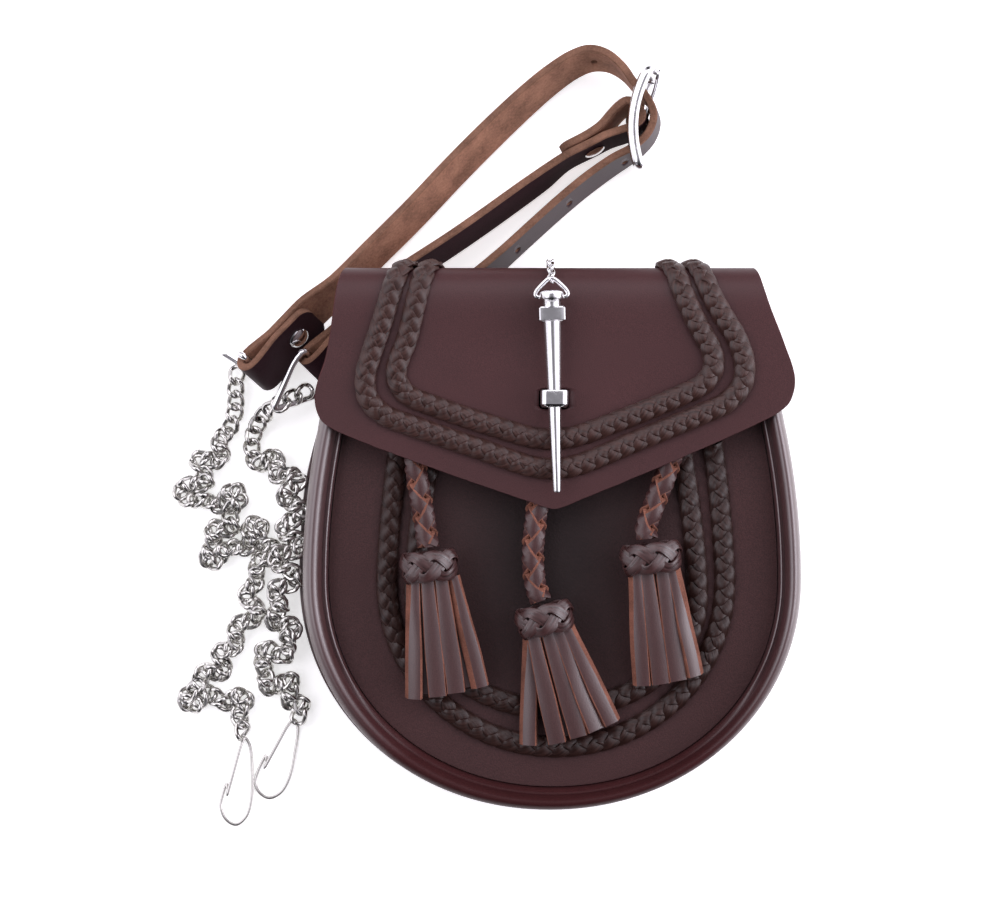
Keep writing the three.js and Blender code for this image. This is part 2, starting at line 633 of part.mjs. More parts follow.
const PEG_AXIS = PEG_TIP.clone().sub(PEG_TOP).normalize();
const PEG_SIDE = PEG_AXIS.clone().cross(V(0, 0, 1)).normalize();

function pegAt(distance) {
  return PEG_TOP.clone().addScaledVector(PEG_AXIS, distance);
}

function peg() {
  const body = turned(PEG_TOP, PEG_AXIS, PEG_PROFILE, 14);
  const collar = loft([COLLAR.from, COLLAR.to].map((at) => ring(
    pegAt(at), PEG_SIDE, V(0, 0, 1), COLLAR.half * Math.SQRT2, COLLAR.deep * Math.SQRT2, 4,
  )));
  const bore = wire([pegAt(BAIL_AT).addScaledVector(PEG_SIDE, -6), pegAt(BAIL_AT).addScaledVector(PEG_SIDE, 6)],
    BAIL_R + GAP, 8);
  return cut(join([body, collar]), [bore]);
}

function pegBail() {
  const foot = pegAt(BAIL_AT);
  const at = (side, up) => foot.clone().addScaledVector(PEG_SIDE, side).addScaledVector(PEG_AXIS, -up);
  const half = [at(-3, 0), at(-5.2, 0.1), at(-6, 1.2), at(-5.4, 3), at(-3.2, 5.4)];
  const mirrored = [at(3.2, 5.4), at(5.4, 3), at(6, 1.2), at(5.2, 0.1), at(3, 0)];
  return wire(smooth([...half, at(0, BAIL_HIGH), ...mirrored], 22, true), BAIL_R, 6, true);
}

// Small chain as one cord from the bail, round the fold, to a stud on the back
function pegChain() {
  const apex = pegAt(BAIL_AT).addScaledVector(PEG_AXIS, -BAIL_HIGH - BAIL_R - GAP - PEG_CHAIN_R * 1.6);
  const points = [apex];
  const { from, to, steps } = PEG_CHAIN_TURN;
  const reach = FOLD_OUT + 2 * GAP + PEG_CHAIN_R;
  for (let i = 0; i <= steps; i += 1) {
    const angle = THREE.MathUtils.degToRad(THREE.MathUtils.lerp(from, to, i / steps));
    points.push(V(apex.x, FOLD_CY + Math.cos(angle) * reach, FOLD_CZ + Math.sin(angle) * reach));
  }
  return cordTube(points, PEG_CHAIN_R, 8, 12);
}

function pegStud() {
  const angle = THREE.MathUtils.degToRad(PEG_STUD_TURN);
  const out = V(0, Math.cos(angle), Math.sin(angle));
  const foot = V(PEG_TOP.x, FOLD_CY, FOLD_CZ).addScaledVector(out, FOLD_OUT + GAP);
  return turned(foot, out, [{ at: 0, r: 2.4 }, { at: 1.6, r: 2.4 }, { at: 2.2, r: 1.8 }], 12);
}

function cordTube(points, radius, sides, steps) {
  const shape = new THREE.Shape();
  for (let i = 0; i < sides; i += 1) {
    const angle = (2 * Math.PI * i) / sides;
    shape[i === 0 ? 'moveTo' : 'lineTo'](radius * Math.cos(angle), radius * Math.sin(angle));
  }
  const path = new THREE.CatmullRomCurve3(points, false, 'centripetal');
  return new THREE.ExtrudeGeometry(shape, { extrudePath: path, steps, bevelEnabled: false });
}

// Post from the front panel through the flap's slot, with a rounded block that holds the peg
function staple() {
  const { x, y, z } = pegAt(STAPLE_AT);
  const block = new THREE.Shape();
  const base = FLAP_TOP + GAP;
  block.moveTo(-STAPLE.half, base);
  block.lineTo(STAPLE.half, base);
  block.lineTo(STAPLE.half, STAPLE.top - 3);
  block.quadraticCurveTo(STAPLE.half, STAPLE.top, STAPLE.half - 2.6, STAPLE.top);
  block.lineTo(2.6 - STAPLE.half, STAPLE.top);
  block.quadraticCurveTo(-STAPLE.half, STAPLE.top, -STAPLE.half, STAPLE.top - 3);
  const head = new THREE.ExtrudeGeometry(block, { depth: 2 * STAPLE.halfY, bevelEnabled: false, curveSegments: 4 })
    .rotateX(Math.PI / 2).translate(x, y + STAPLE.halfY, 0);
  const stem = box(x - STAPLE.stemHalf, x + STAPLE.stemHalf, y - STAPLE.stemHalfY, y + STAPLE.stemHalfY,
    PANEL_TOP + GAP, base + 1);
  const bore = wire([V(x - 0.2, y + 6, z), V(x + 0.2, y - 6, z)], STAPLE_BORE, 14);
  return cut(join([head, stem]), [bore]);
}

// Strap station from its plan position and lean
function strapStation({ x, y, leanX, leanY, lift }) {
  const across = V(leanX / STRAP_WIDE, leanY / STRAP_WIDE, 0);
  const lean = across.length();
  across.setZ(Math.sqrt(1 - lean ** 2));
  return { point: V(x, y, GAP + lift + (STRAP_WIDE * across.z + STRAP_THICK * lean) / 2), across };
}

// Teardrop fold of a strap end round a bar: from the free end, round the bar, to the strap's body
function foldRound(bar, across, away, freeSide, length) {
  const out = away.clone().addScaledVector(across, -away.dot(across)).normalize();
  const side = across.clone().cross(out).multiplyScalar(freeSide);
  const layer = LAYER / 2;
  const plan = [[length, layer], [RIVET_FROM_BAR, layer], [13, layer], [7.5, LOOP_R - 0.6], [3.4, LOOP_R]];
  for (let i = 0; i <= 6; i += 1) {
    const angle = Math.PI / 2 + (Math.PI * i) / 6;
    plan.push([LOOP_R * Math.cos(angle), LOOP_R * Math.sin(angle)]);
  }
  plan.push([3.4, -LOOP_R], [7.5, -LOOP_R + 0.6], [13, -layer], [RIVET_FROM_BAR, -layer], [length, -layer]);
  return plan.map(([a, b]) => ({
    point: bar.clone().addScaledVector(out, a).addScaledVector(side, b),
    across: across.clone(),
  }));
}

const unit = (list) => V(...list).normalize();
const BUCKLE_U = unit([0.1, 0.99, 0]).addScaledVector(BUCKLE_W, -unit([0.1, 0.99, 0]).dot(BUCKLE_W)).normalize();
const BUCKLE_N = BUCKLE_U.clone().cross(BUCKLE_W);
const inBuckle = (u, n, w) => BUCKLE_AT.clone()
  .addScaledVector(BUCKLE_U, u).addScaledVector(BUCKLE_N, n).addScaledVector(BUCKLE_W, w);

const LONG_FOLD = foldRound(V(...RING_LEFT.bar), unit(RING_LEFT.along), V(0.7, 0.714, 0), -1, FOLD_BACK.long);
const SHORT_FOLD = foldRound(V(...RING_RIGHT.bar), unit(RING_RIGHT.along), V(0.72, 0.69, 0), 1, FOLD_BACK.short);
const BUCKLE_FOLD = foldRound(BUCKLE_AT, BUCKLE_W, V(-0.83, -0.56, 0), -1, FOLD_BACK.buckle).reverse();

// Stations at even spacing along a strap, its width direction carried with them
function strapPath(stations, spacing) {
  const path = new THREE.CatmullRomCurve3(stations.map(({ point }) => point), false, 'centripetal');
  const ways = new THREE.CatmullRomCurve3(stations.map(({ across }) => across), false, 'centripetal');
  path.arcLengthDivisions = 800;
  const steps = Math.round(path.getLength() / spacing);
  const even = [];
  for (let i = 0; i <= steps; i += 1) {
    const t = path.getUtoTmapping(i / steps);
    even.push({ point: path.getPoint(t), across: ways.getPoint(t).normalize() });
  }
  return even.map(({ point, across }, i) => {
    const along = even[Math.min(i + 1, steps)].point.clone().sub(even[Math.max(i - 1, 0)].point).normalize();
    const face = along.clone().cross(across).normalize();
    return { point, across, face, at: i * spacing };
  });
}

function strapBody(path) {
  return loft(path.map(({ point, across, face }) => {
    const corner = (w, t) => point.clone()
      .addScaledVector(across, (w * STRAP_WIDE) / 2).addScaledVector(face, (t * STRAP_THICK) / 2);
    return [corner(-1, -1), corner(-1, 1), corner(1, 1), corner(1, -1)];
  }));
}

// Strap points kept where the path bends, thinned where it runs straight
function thinned(path, spacing, limit) {
  const kept = [path[0]];
  path.slice(1, -1).forEach((station) => {
    const last = kept[kept.length - 1];
    const turn = last.face.angleTo(station.face);
    if (turn > limit || station.at - last.at > spacing) {
      kept.push(station);
    }
  });
  return [...kept, path[path.length - 1]];
}

const LONG_PATH = strapPath([...LONG_FOLD, ...LONG_STRAP.map(strapStation)], 1);
const SHORT_PATH = strapPath([...SHORT_FOLD, ...SHORT_STRAP.map(strapStation), ...BUCKLE_FOLD], 1);

function through({ point, face }, radius, reach) {
  return wire([point.clone().addScaledVector(face, -reach), point.clone().addScaledVector(face, reach)], radius, 8);
}

// Rivet through both layers of a folded end, midway between them
function rivetAt(fold) {
  const free = fold[1].point;
  const body = fold[fold.length - 2].point;
  return { point: free.clone().lerp(body, 0.5), face: body.clone().sub(free).normalize() };
}

function rivet({ point, face }) {
  const stack = (LAYER + STRAP_THICK) / 2 + RIVET_CLEAR;
  const profile = [
    { at: -stack - RIVET_DOME, r: RIVET_HEAD * 0.6 }, { at: -stack, r: RIVET_HEAD }, { at: -stack + 0.01, r: RIVET_SHANK },
    { at: stack - 0.01, r: RIVET_SHANK }, { at: stack, r: RIVET_HEAD }, { at: stack + RIVET_DOME, r: RIVET_HEAD * 0.6 },
  ];
  return turned(point, face, profile, 12);
}

const LONG_RIVET = rivetAt(LONG_FOLD);
const SHORT_RIVET = rivetAt(SHORT_FOLD);
const BUCKLE_RIVET = rivetAt(BUCKLE_FOLD);
const RIVET_REACH = 9;

function prongPath() {
  const points = [];
  const { from, to, steps } = PRONG_EYE_TURN;
  for (let i = 0; i <= steps; i += 1) {
    const angle = THREE.MathUtils.degToRad(THREE.MathUtils.lerp(from, to, i / steps));
    points.push(inBuckle(PRONG_EYE * Math.cos(angle), PRONG_EYE * Math.sin(angle), 0));
  }
  const rest = BUCKLE_BOW + RAIL_R + GAP + PRONG_R;
  points.push(inBuckle(6, 4.6, 0), inBuckle(12, 6.2, 0), inBuckle(BUCKLE_HALF + 1.5, rest + 0.1, 0));
  return smooth(points, 18);
}

const PRONG_PATH = prongPath();

function longStrap() {
  const nearest = LONG_PATH.reduce((best, s) => (
    s.point.distanceTo(inBuckle(7.5, 4.6, 0)) < best.point.distanceTo(inBuckle(7.5, 4.6, 0)) ? s : best));
  const start = LONG_PATH.indexOf(nearest);
  const holes = [-1, 1, 2, 3].map((k) => through(LONG_PATH[start + Math.round(k * HOLE_PITCH)], HOLE_R, 3));
  const prongHole = wire(PRONG_PATH, PRONG_R + GAP, 6);
  const rivetHole = through(LONG_RIVET, RIVET_SHANK + GAP, RIVET_REACH);
  return cut(strapBody(thinned(LONG_PATH, 12, 0.3)), [...holes, prongHole, rivetHole]);
}

function shortStrap() {
  const beyond = PRONG_PATH[0].clone().lerp(PRONG_PATH[1], -0.3);
  const prongSlot = wire([beyond, ...PRONG_PATH], PRONG_R + 2 * GAP, 6);
  const rivets = [SHORT_RIVET, BUCKLE_RIVET].map((at) => through(at, RIVET_SHANK + GAP, RIVET_REACH));
  return cut(strapBody(thinned(SHORT_PATH, 12, 0.3)), [prongSlot, ...rivets]);
}

// Triangular wire ring with rounded corners, its legs clear of the strap's fold
function wireRing({ bar, along, corner }) {
  const way = unit(along);
  const apex = V(...corner);
  const away = apex.clone().sub(V(...bar));
  away.addScaledVector(way, -away.dot(way)).normalize();
  const at = (w, out) => V(...bar).addScaledVector(way, w).addScaledVector(away, out);
  const { barHalf, shoulder, shoulderOut, bend } = RING;
  const corners = [at(barHalf, 0), at(-barHalf, 0), at(-shoulder, shoulderOut), apex, at(shoulder, shoulderOut)];
  const points = corners.flatMap((here, i) => {
    const before = here.clone().add(corners[(i + 4) % 5].clone().sub(here).setLength(bend));
    const after = here.clone().add(corners[(i + 1) % 5].clone().sub(here).setLength(bend));
    return new THREE.QuadraticBezierCurve3(before, here, after).getPoints(3);
  });
  return wire(points, RING_R, 6, true);
}

function buckleFrame() {
  const bow = (u) => BUCKLE_BOW * (u / BUCKLE_HALF) ** 2;
  const rail = (w) => [-1, -0.75, -0.5, -0.25, 0, 0.25, 0.5, 0.75, 1].map((t) => (
    inBuckle(t * BUCKLE_HALF, bow(t * BUCKLE_HALF), w)));
  const bar = (u) => [inBuckle(u, bow(u), -RAIL_AT), inBuckle(u, bow(u), RAIL_AT)];
  return join([
    wire(rail(RAIL_AT), RAIL_R, 8), wire(rail(-RAIL_AT), RAIL_R, 8),
    wire(bar(BUCKLE_HALF), RAIL_R, 8, false, RAIL_R, BUCKLE_N), wire(bar(-BUCKLE_HALF), RAIL_R, 8, false, RAIL_R, BUCKLE_N),
    wire(bar(0), BAR_R, 8, false, BAR_R, BUCKLE_N),
  ]);
}

const points3 = (table) => table.map((p) => V(...p));

add('back_and_flap', backAndFlap(), LEATHER);
add('gusset', gusset(), DARK_LEATHER);
add('front_panel', frontPanel(), LEATHER);
add('flap_plait_outer', flapPlait(FLAP_PLAIT_OUTER), DARK_LEATHER);
add('flap_plait_inner', flapPlait(FLAP_PLAIT_INNER), DARK_LEATHER);
add('front_plait_outer', frontPlait(FRONT_PLAIT_OUTER), DARK_LEATHER);
add('front_plait_inner', frontPlait(FRONT_PLAIT_INNER), DARK_LEATHER);
TASSELS.forEach((tassel) => {
  add(`tassel_cord_${tassel.name}`, tasselCord(tassel), LEATHER);
  add(`tassel_knot_${tassel.name}`, tasselKnot(tassel), LEATHER);
  add(`tassel_fringe_${tassel.name}`, tasselFringe(tassel), LEATHER);
});
add('peg', peg(), STEEL);
add('peg_bail', pegBail(), STEEL);
add('peg_chain', pegChain(), STEEL);
add('peg_stud', pegStud(), STEEL);
add('staple', staple(), STEEL);
add('strap_long', longStrap(), STRAP_LEATHER);
add('strap_short', shortStrap(), STRAP_LEATHER);
add('rivet_long', rivet(LONG_RIVET), STEEL);
add('rivet_short', rivet(SHORT_RIVET), STEEL);
add('rivet_buckle', rivet(BUCKLE_RIVET), STEEL);
add('buckle_frame', buckleFrame(), STEEL);
add('buckle_prong', wire(PRONG_PATH, PRONG_R, 6), STEEL);
add('ring_left', wireRing(RING_LEFT), STEEL);
add('ring_right', wireRing(RING_RIGHT), STEEL);
add('chain_left', cordTube(points3(CHAIN_LEFT), CHAIN_R, CHAIN_SIDES, CHAIN_STEPS), STEEL);
add('chain_right', cordTube(points3(CHAIN_RIGHT), CHAIN_R, CHAIN_SIDES, CHAIN_STEPS), STEEL);
add('clip_left', wire(smooth(points3(CLIP_LEFT), 28), CLIP_R, 5), STEEL);
add('clip_right', wire(smooth(points3(CLIP_RIGHT), 28), CLIP_R, 5), STEEL);

export default group;
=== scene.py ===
"""Leather day sporran lying on its back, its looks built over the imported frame.

Lengths are millimetres in the frame's own axes until a mesh is made: the back lies on z = 0, +Y points
to the folded top edge and +Z out of the front.
"""
import math

import bmesh
import bpy
from bpy.props import FloatProperty, FloatVectorProperty, PointerProperty
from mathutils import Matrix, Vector, noise


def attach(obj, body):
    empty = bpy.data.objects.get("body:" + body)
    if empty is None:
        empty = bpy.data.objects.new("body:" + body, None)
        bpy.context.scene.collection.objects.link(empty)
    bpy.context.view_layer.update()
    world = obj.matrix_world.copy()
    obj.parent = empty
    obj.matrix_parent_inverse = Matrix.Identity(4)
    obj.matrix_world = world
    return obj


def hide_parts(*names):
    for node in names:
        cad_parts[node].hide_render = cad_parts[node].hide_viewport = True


bl_info = {
    "name": "Day sporran",
    "version": (1, 0, 0),
    "blender": (4, 5, 0),
    "location": "3D View > Sidebar > Sporran",
    "description": "Leather pouch with plaited trims, tassels, peg, strap and chains over its packed frame",
    "category": "Add Mesh",
}

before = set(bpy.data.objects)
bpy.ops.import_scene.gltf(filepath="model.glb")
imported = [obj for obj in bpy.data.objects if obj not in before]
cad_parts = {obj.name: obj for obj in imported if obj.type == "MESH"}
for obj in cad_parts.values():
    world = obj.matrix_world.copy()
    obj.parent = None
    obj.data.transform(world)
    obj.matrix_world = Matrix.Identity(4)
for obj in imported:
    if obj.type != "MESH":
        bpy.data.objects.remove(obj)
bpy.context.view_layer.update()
MM = 0.001
UP = Vector((0, 0, 1))


def linear(code):
    """Linear colour of an sRGB hex value."""
    parts = [int(code[i:i + 2], 16) / 255 for i in (1, 3, 5)]
    return tuple(c / 12.92 if c <= 0.04045 else ((c + 0.055) / 1.055) ** 2.4 for c in parts)


# Leather and clearances
GAP = 0.3
SHEET = 2.4
GUSSET = 2.0
PANEL = 2.2
CUT_ROUND = 0.4

# Pouch outline: half ellipse below, wide arcs at the sides, straight lines above
POUCH_HALF = 93.6
WIDEST_Y = -13.1
BOTTOM_DROP = 87.5
BOTTOM_FULL = 0.97
SIDE_R = 285
SIDE_TOP_Y = 43.2
SIDE_LEAN = math.radians(11.4)
GUSSET_TOP_Y = 92
FLANGE = 3.3
FLANGE_FADE = (16, 62)

# Heights above the floor
RIM_TOP = 40
PANEL_TOP = 30.5
FLAP_UNDER = RIM_TOP + 0.4
FLAP_TOP = FLAP_UNDER + SHEET

# Rolled rim and the front inside it, which sits to the right of the middle
PANEL_INSET = 10.7
PANEL_TOP_Y = 86
LEDGE = -15
FRONT_SHIFT = 1.4
FRONT_GROW = 2
RIM_GROOVE = -8.4
RIM_ROLL_HIGH = 7.4
RIM_BULGE = 1.7
RIM_IN = 0.2
BEAD_FADE = (-75, -35)

# Back: flat, then rising to the fold
RISE = math.radians(17.5)
BEND_R = 100
BEND_Y = 4
FOLD_Y = 97.7
BEND_END_Y = BEND_Y + BEND_R * math.sin(RISE)
BEND_END_Z = SHEET / 2 + BEND_R * (1 - math.cos(RISE))
FOLD_Z = BEND_END_Z + (FOLD_Y - BEND_END_Y) * math.tan(RISE)
FOLD_R = (FLAP_UNDER + SHEET / 2 - FOLD_Z) / (1 + math.cos(RISE))
FOLD_CY = FOLD_Y - FOLD_R * math.sin(RISE)
FOLD_CZ = FOLD_Z + FOLD_R * math.cos(RISE)
FOLD_OUT = FOLD_R + SHEET / 2
FOLD_HALF = 77.2
FOLD_FLARE = 3.4
EASE_FROM_Y = 84
EASE_POWER = 1.6

# Flap: v down the flap and half its width there
FLAP_SHIFT = 1.8
FLAP_SKEW = 0.035
SKEW_FROM_Y = 100
SKEW_LENGTH = 30
FLAP_ROWS = [
    (FOLD_CY, FOLD_HALF + FOLD_FLARE), (85, 82.9), (72, 86.4), (65, 88.9), (60.5, 90), (57, 90.1),
    (53.5, 89.4), (50, 87.8), (46.8, 84), (42.3, 74.8), (30, 44.8), (20, 18.8), (16.4, 9), (14.4, 4),
    (13.6, 1.2),
]

# Plaited trims: u across and v down the flap, from the fold to the middle
FLAP_PLAIT_WRAP = 1.9
FLAP_PLAITS = {
    "outer": [
        (55.6, 106), (59.7, 95), (64, 84.6), (68.6, 74.2), (71, 65.4), (70, 57.6), (64.4, 51.4),
        (53.7, 46.7), (29.9, 37.7), (6, 29.2),
    ],
    "inner": [
        (46.1, 106), (49.6, 95), (55, 79), (59, 70), (59.2, 64), (55.5, 58.5), (46, 54), (23.8, 45.7),
        (6, 40.2),
    ],
}
FRONT_PLAIT_X = 2.4
FRONT_PLAITS = {
    "outer": {"half": 64, "mid_y": -15, "drop": 61.8, "top_half": 59.4, "top_y": 38},
    "inner": {"half": 53.6, "mid_y": -20, "drop": 42.5, "top_half": 47.6, "top_y": 35},
}
PLAIT_HIGH = 3.2
PLAIT_HALF = 4.3
FRONT_PLAIT_STRETCH = 1.18

# Tassels: each strip is top x, foot x, foot y, roll in degrees, left and right slope of its cut edges
CORD_HALF = 4.3
CORD_THICK = 5.8
CORD_Z = PANEL_TOP + GAP + PLAIT_HIGH + GAP + CORD_THICK / 2
KNOT_Z = 41.8
KNOT_DEEP = 7
KNOT_HIGH = 6.2
KNOT_LACE = (5, 1.1, 0.35)
FRONT_SPLAY = (43.4, 38.8, 0.8)
BACK_SPLAY = (40.4, 36.2, 0.2)
TASSELS = {
    "left": {
        "cord": [(-50.6, 45), (-50.8, 36.5), (-50.3, 28), (-48.4, 16), (-46.2, 2), (-45.9, -0.9)],
        "knot": (-45.3, -8, 10.6, 6),
        "front": [
            (-51.3, -51.5, -57.9, -16, 1.8, 0.2), (-46, -42.2, -57, 0, 0.25, 0.25),
            (-40.8, -35.2, -55.6, 0, 0.25, 0.25), (-36.4, -26, -53.5, 6, 1.8, 0.7),
        ],
        "back": [
            (-48.6, -46.4, -56.2, 0, 0.3, 0.3), (-42.8, -37.8, -55, 4, 0.3, 0.3),
            (-38.8, -29.4, -53.2, 8, 0.3, 0.3),
        ],
    },
    "middle": {
        "cord": [(-4.2, 36), (-4.3, 27), (-4.9, 13), (-6.3, -1.8), (-5.6, -14), (-3.4, -21.2)],
        "knot": (-1.9, -27.9, 10.8, 13),
        "front": [
            (-6.4, 2.8, -74.6, -6, 0.3, 0.3), (-1, 10.8, -72.2, 0, 0.3, 0.3),
            (3, 17.4, -69.6, 17, 0.2, 0.6), (6.6, 23.6, -67, 8, 0.3, 1.4),
        ],
        "back": [
            (-7.6, -8.4, -75.6, -15, 1.7, 0.2), (-0.8, 6.8, -72, 0, 0.4, 0.4),
            (3.6, 20.8, -66.8, -8, 0.4, 0.4),
        ],
    },
    "right": {
        "cord": [(48.2, 45), (47, 37), (43.6, 26), (38.6, 13.2), (36.4, 6.4), (36.6, 2.2)],
        "knot": (38, -4.9, 11.4, 7),
        "front": [
            (31.8, 34.4, -53, -8, 1.6, 0.3), (36.2, 41.8, -52.3, 0, 0.3, 0.3),
            (41.8, 48.4, -51, 7, 0.3, 0.3), (46.2, 55.2, -49.2, 20, 0.2, 2),
        ],
        "back": [
            (34.4, 38.4, -51.6, 4, 0.3, 0.3), (39, 45.8, -50.2, 0, 0.3, 0.3),
            (43.8, 52.8, -48.8, -4, 0.3, 0.3),
        ],
    },
}

# Peg closure
PEG_TOP = Vector((0.4, 95.2, 49.2))
PEG_TIP = Vector((2.5, 19.7, 48.8))
PEG_AXIS = (PEG_TIP - PEG_TOP).normalized()
PEG_SIDE = PEG_AXIS.cross(UP).normalized()
PEG_PROFILE = [
    (0, 0.2), (0.05, 2.6), (0.25, 3.7), (0.7, 4.4), (1.4, 4.65), (2.7, 4.65), (3.4, 4.4), (3.9, 3.9),
    (4.4, 3.45), (5.2, 3.3), (6.4, 3.4), (11.4, 3.4), (11.8, 3.4), (12.2, 3.35), (26, 2.93), (40, 2.5),
    (58, 1.98), (74.6, 1.5), (75.2, 1.3), (75.5, 0.9), (75.55, 0.1),
]
COLLAR = {"from": 6.2, "to": 11.7, "half": 4.9, "deep": 4.6, "bevel": 0.5}
BAIL_R = 0.85
BAIL_AT = 2.4
BAIL_HIGH = 6.9
STAPLE_AT = 40.4
STAPLE = {"half": 5.2, "half_y": 3.25, "top": 53.2, "round": 2.4, "stem": 4.2, "stem_y": 2.3}
STAPLE_BORE = 2.85
SLOT = {"half": 5.7, "half_y": 3.9, "round": 1.6}
PEG_CHAIN_R = 1.5
PEG_CHAIN_TURN = (46, -44)
PEG_STUD_TURN = -62
PEG_STUD = [(0, 2.3), (0.3, 2.45), (1.3, 2.45), (1.8, 2.1), (2.1, 1.3), (2.2, 0.2)]
SMALL_LINK = (5.4, 4.2, 1.1)
SMALL_LINK_TURN = math.radians(48)

# Strap stations: x, y, lean of the top edge in x and y, and lift off the floor
STRAP_WIDE = 18
STRAP_THICK = 3
LOOP_R = 3.25
LAYER = STRAP_THICK + 2 * GAP
LONG_STRAP = [
    (-81, 98.1, -4.4, 7.6, 2.2), (-67.1, 112, -4.8, 7.2, 0.7), (-52.3, 126.8, -4.8, 7.2, 0),
    (-36.4, 143.6, -4.8, 7.2, 0), (-22.6, 157.5, -4.6, 7.2, 0), (-7.9, 171.3, -4, 7.1, 0.5),
    (1.4, 179, -3.2, 7, 1.2), (9.9, 184.6, -2.6, 6.6, 2), (16.5, 186.8, -2.3, 6, 2.8),
    (23, 185.6, -2.2, 4.6, 3.6), (29, 181.2, -2.2, 3, 4.4), (33.4, 175.6, -2.3, 1.6, 4.9),
    (38.4, 170, -2.3, 1.1, 5.2), (41, 163.4, -2.3, 1.1, 5.4), (39.2, 156.8, -2.3, 1.3, 5.6),
    (33.8, 151, -2.2, 2.2, 5.8), (24.4, 145.2, -2, 4, 4), (14.2, 138, -2, 4.4, 1.4),
    (4.5, 130, -2, 4.4, 0.3), (-5.2, 121.3, -2, 4.4, 0), (-14.9, 112.4, -2, 4.5, 0),
    (-22.6, 105.4, -2.6, 5, 0), (-30.4, 98.4, -3.6, 6, 0), (-37.4, 92.2, -4, 6.6, 0),
]
SHORT_STRAP = [
    (-71.1, 92.6, -2, 5.4, 0), (-61.4, 99.8, -2, 5.2, 0), (-53.4, 105.2, -2.2, 5.2, 0),
    (-38.5, 114.8, -2.2, 5.3, 0), (-24.7, 124.3, -2.2, 5.3, 0), (-9.9, 134.9, -2.2, 5.2, 0.4),
    (-1.6, 140.8, -2.2, 4.6, 1.2),
]
FOLD_BACK = {"long": 30, "short": 25, "buckle": 31}
FOLD_AWAY = {"long": (0.7, 0.714, 0), "short": (0.72, 0.69, 0), "buckle": (-0.9, -0.44, 0)}
BUCKLE_FOLD_ACROSS = (-0.14, 0.13, 0.98)
BUCKLE_FOLD_BULGE = 3.4
END_ROUND = 5
RIVET_FROM_BAR = 19.5
RIVET_HEAD = 4.1
RIVET_SHANK = 1.8
RIVET_DOME = 1
RIVET_CLEAR = 0.55
HOLE_R = 1.3
HOLE_PITCH = 27.5

# Rings: bar through the strap's fold, its direction, and the corner where the chain hangs
RING_R = 1.3
RING = {"bar_half": 11.9, "shoulder": 10.9, "shoulder_out": 6.6, "bend": 2.6}
RINGS = {
    "left": ((-111.6, 66.6, 14.1), (-0.44, 0.43, 0.788), (-127.8, 74.2, 2)),
    "right": ((-88.1, 68.1, 10.2), (-0.5, 0.515, 0.697), (-106.3, 51.1, 13)),
}

# Buckle standing on edge: rails run along u, bars along the strap's width w
BUCKLE_AT = Vector((33.6, 162.5, 14.6))
BUCKLE_W = Vector((-0.13, 0.06, 0.99)).normalized()
BUCKLE_LEAN = Vector((0.1, 0.99, 0)).normalized()
BUCKLE_U = (BUCKLE_LEAN - BUCKLE_W * BUCKLE_LEAN.dot(BUCKLE_W)).normalized()
BUCKLE_N = BUCKLE_U.cross(BUCKLE_W)
BUCKLE_HALF = 19
BUCKLE_BOW = 4
BUCKLE_CORNER = 2.6
BUCKLE_OVAL = 1.35
RAIL_R = 1.7
RAIL_AT = STRAP_WIDE / 2 + 0.9 + RAIL_R
BAR_R = 1.5
PRONG_R = 1.1
PRONG_EYE = BAR_R + GAP + PRONG_R
PRONG_EYE_TURN = (366, 100)
PRONG_HOLE = (7.5, 4.6, 0)

# Chains and clips: routes on the floor
CHAIN_ROUTES = {
    "left": [
        (-120.7, 67.2, 2.8), (-121.8, 60.6, 2.8), (-121.4, 53.1, 2.8), (-123.4, 45.4, 2.8),
        (-127, 37.6, 2.8), (-132, 30.6, 2.8), (-136.6, 24.6, 2.8), (-138.4, 18, 2.8),
        (-133.6, 13.6, 2.8), (-128, 17.2, 2.8), (-122.4, 17.8, 2.8), (-121.6, 11.4, 2.8),
        (-126, 5.6, 2.8), (-131.4, 0.4, 2.8), (-130.4, -6, 2.8), (-124, -5.2, 2.8), (-118.6, -0.4, 2.8),
        (-113.6, 4.6, 2.8), (-109.4, 0.6, 2.8), (-109.4, -6.6, 2.8), (-113.6, -12, 2.8),
        (-115.8, -18, 2.8), (-114, -24.6, 2.8), (-117.2, -31.2, 2.8), (-122.4, -37.6, 2.8),
        (-125.6, -44.4, 2.8), (-129.4, -50.6, 2.8), (-135.6, -53.2, 2.8), (-139.6, -58, 2.8),
        (-135.6, -62.4, 2.8), (-128.4, -60.8, 2.8), (-121.6, -60.2, 2.8), (-118.8, -67, 2.8),
        (-119.7, -75.9, 2.6),
    ],
    "right": [
        (-106.5, 52, 11.1), (-110.4, 49.2, 5.6), (-113.6, 44.4, 3), (-115.6, 37.6, 2.8),
        (-113.2, 31.2, 2.8), (-106.8, 30, 3.4), (-101.6, 26.2, 6.6), (-98.8, 20, 8), (-98.4, 13, 8),
        (-99.6, 6.4, 8), (-99.4, -0.4, 8), (-101.4, -7, 8), (-101.6, -13.6, 7.4), (-103, -20, 6),
        (-106.8, -25.6, 4.4), (-103.6, -31.2, 5), (-98.4, -35.4, 7.8), (-100.8, -41.4, 6),
        (-107.2, -41.6, 3.4), (-111.6, -46.2, 2.8), (-110.6, -52.8, 2.8), (-104.8, -55, 2.8),
        (-100, -58.8, 2.8), (-95.8, -63, 2.8), (-98, -69.8, 2.6),
    ],
}
CHAIN_STRAIGHT = (22, 36)
CHAIN_WAVE = 12.5
CHAIN_SWING = 5.2
CHAIN_HEAP = 2.4
CHAIN_TUMBLE = 70
CURB_TWIST = math.radians(42)
RING_LINKS = [(-105.6, 52.6, 11.2), (-99.4, 55.6, 9.6), (-92.6, 59, 8)]
CLIP_R = 0.65
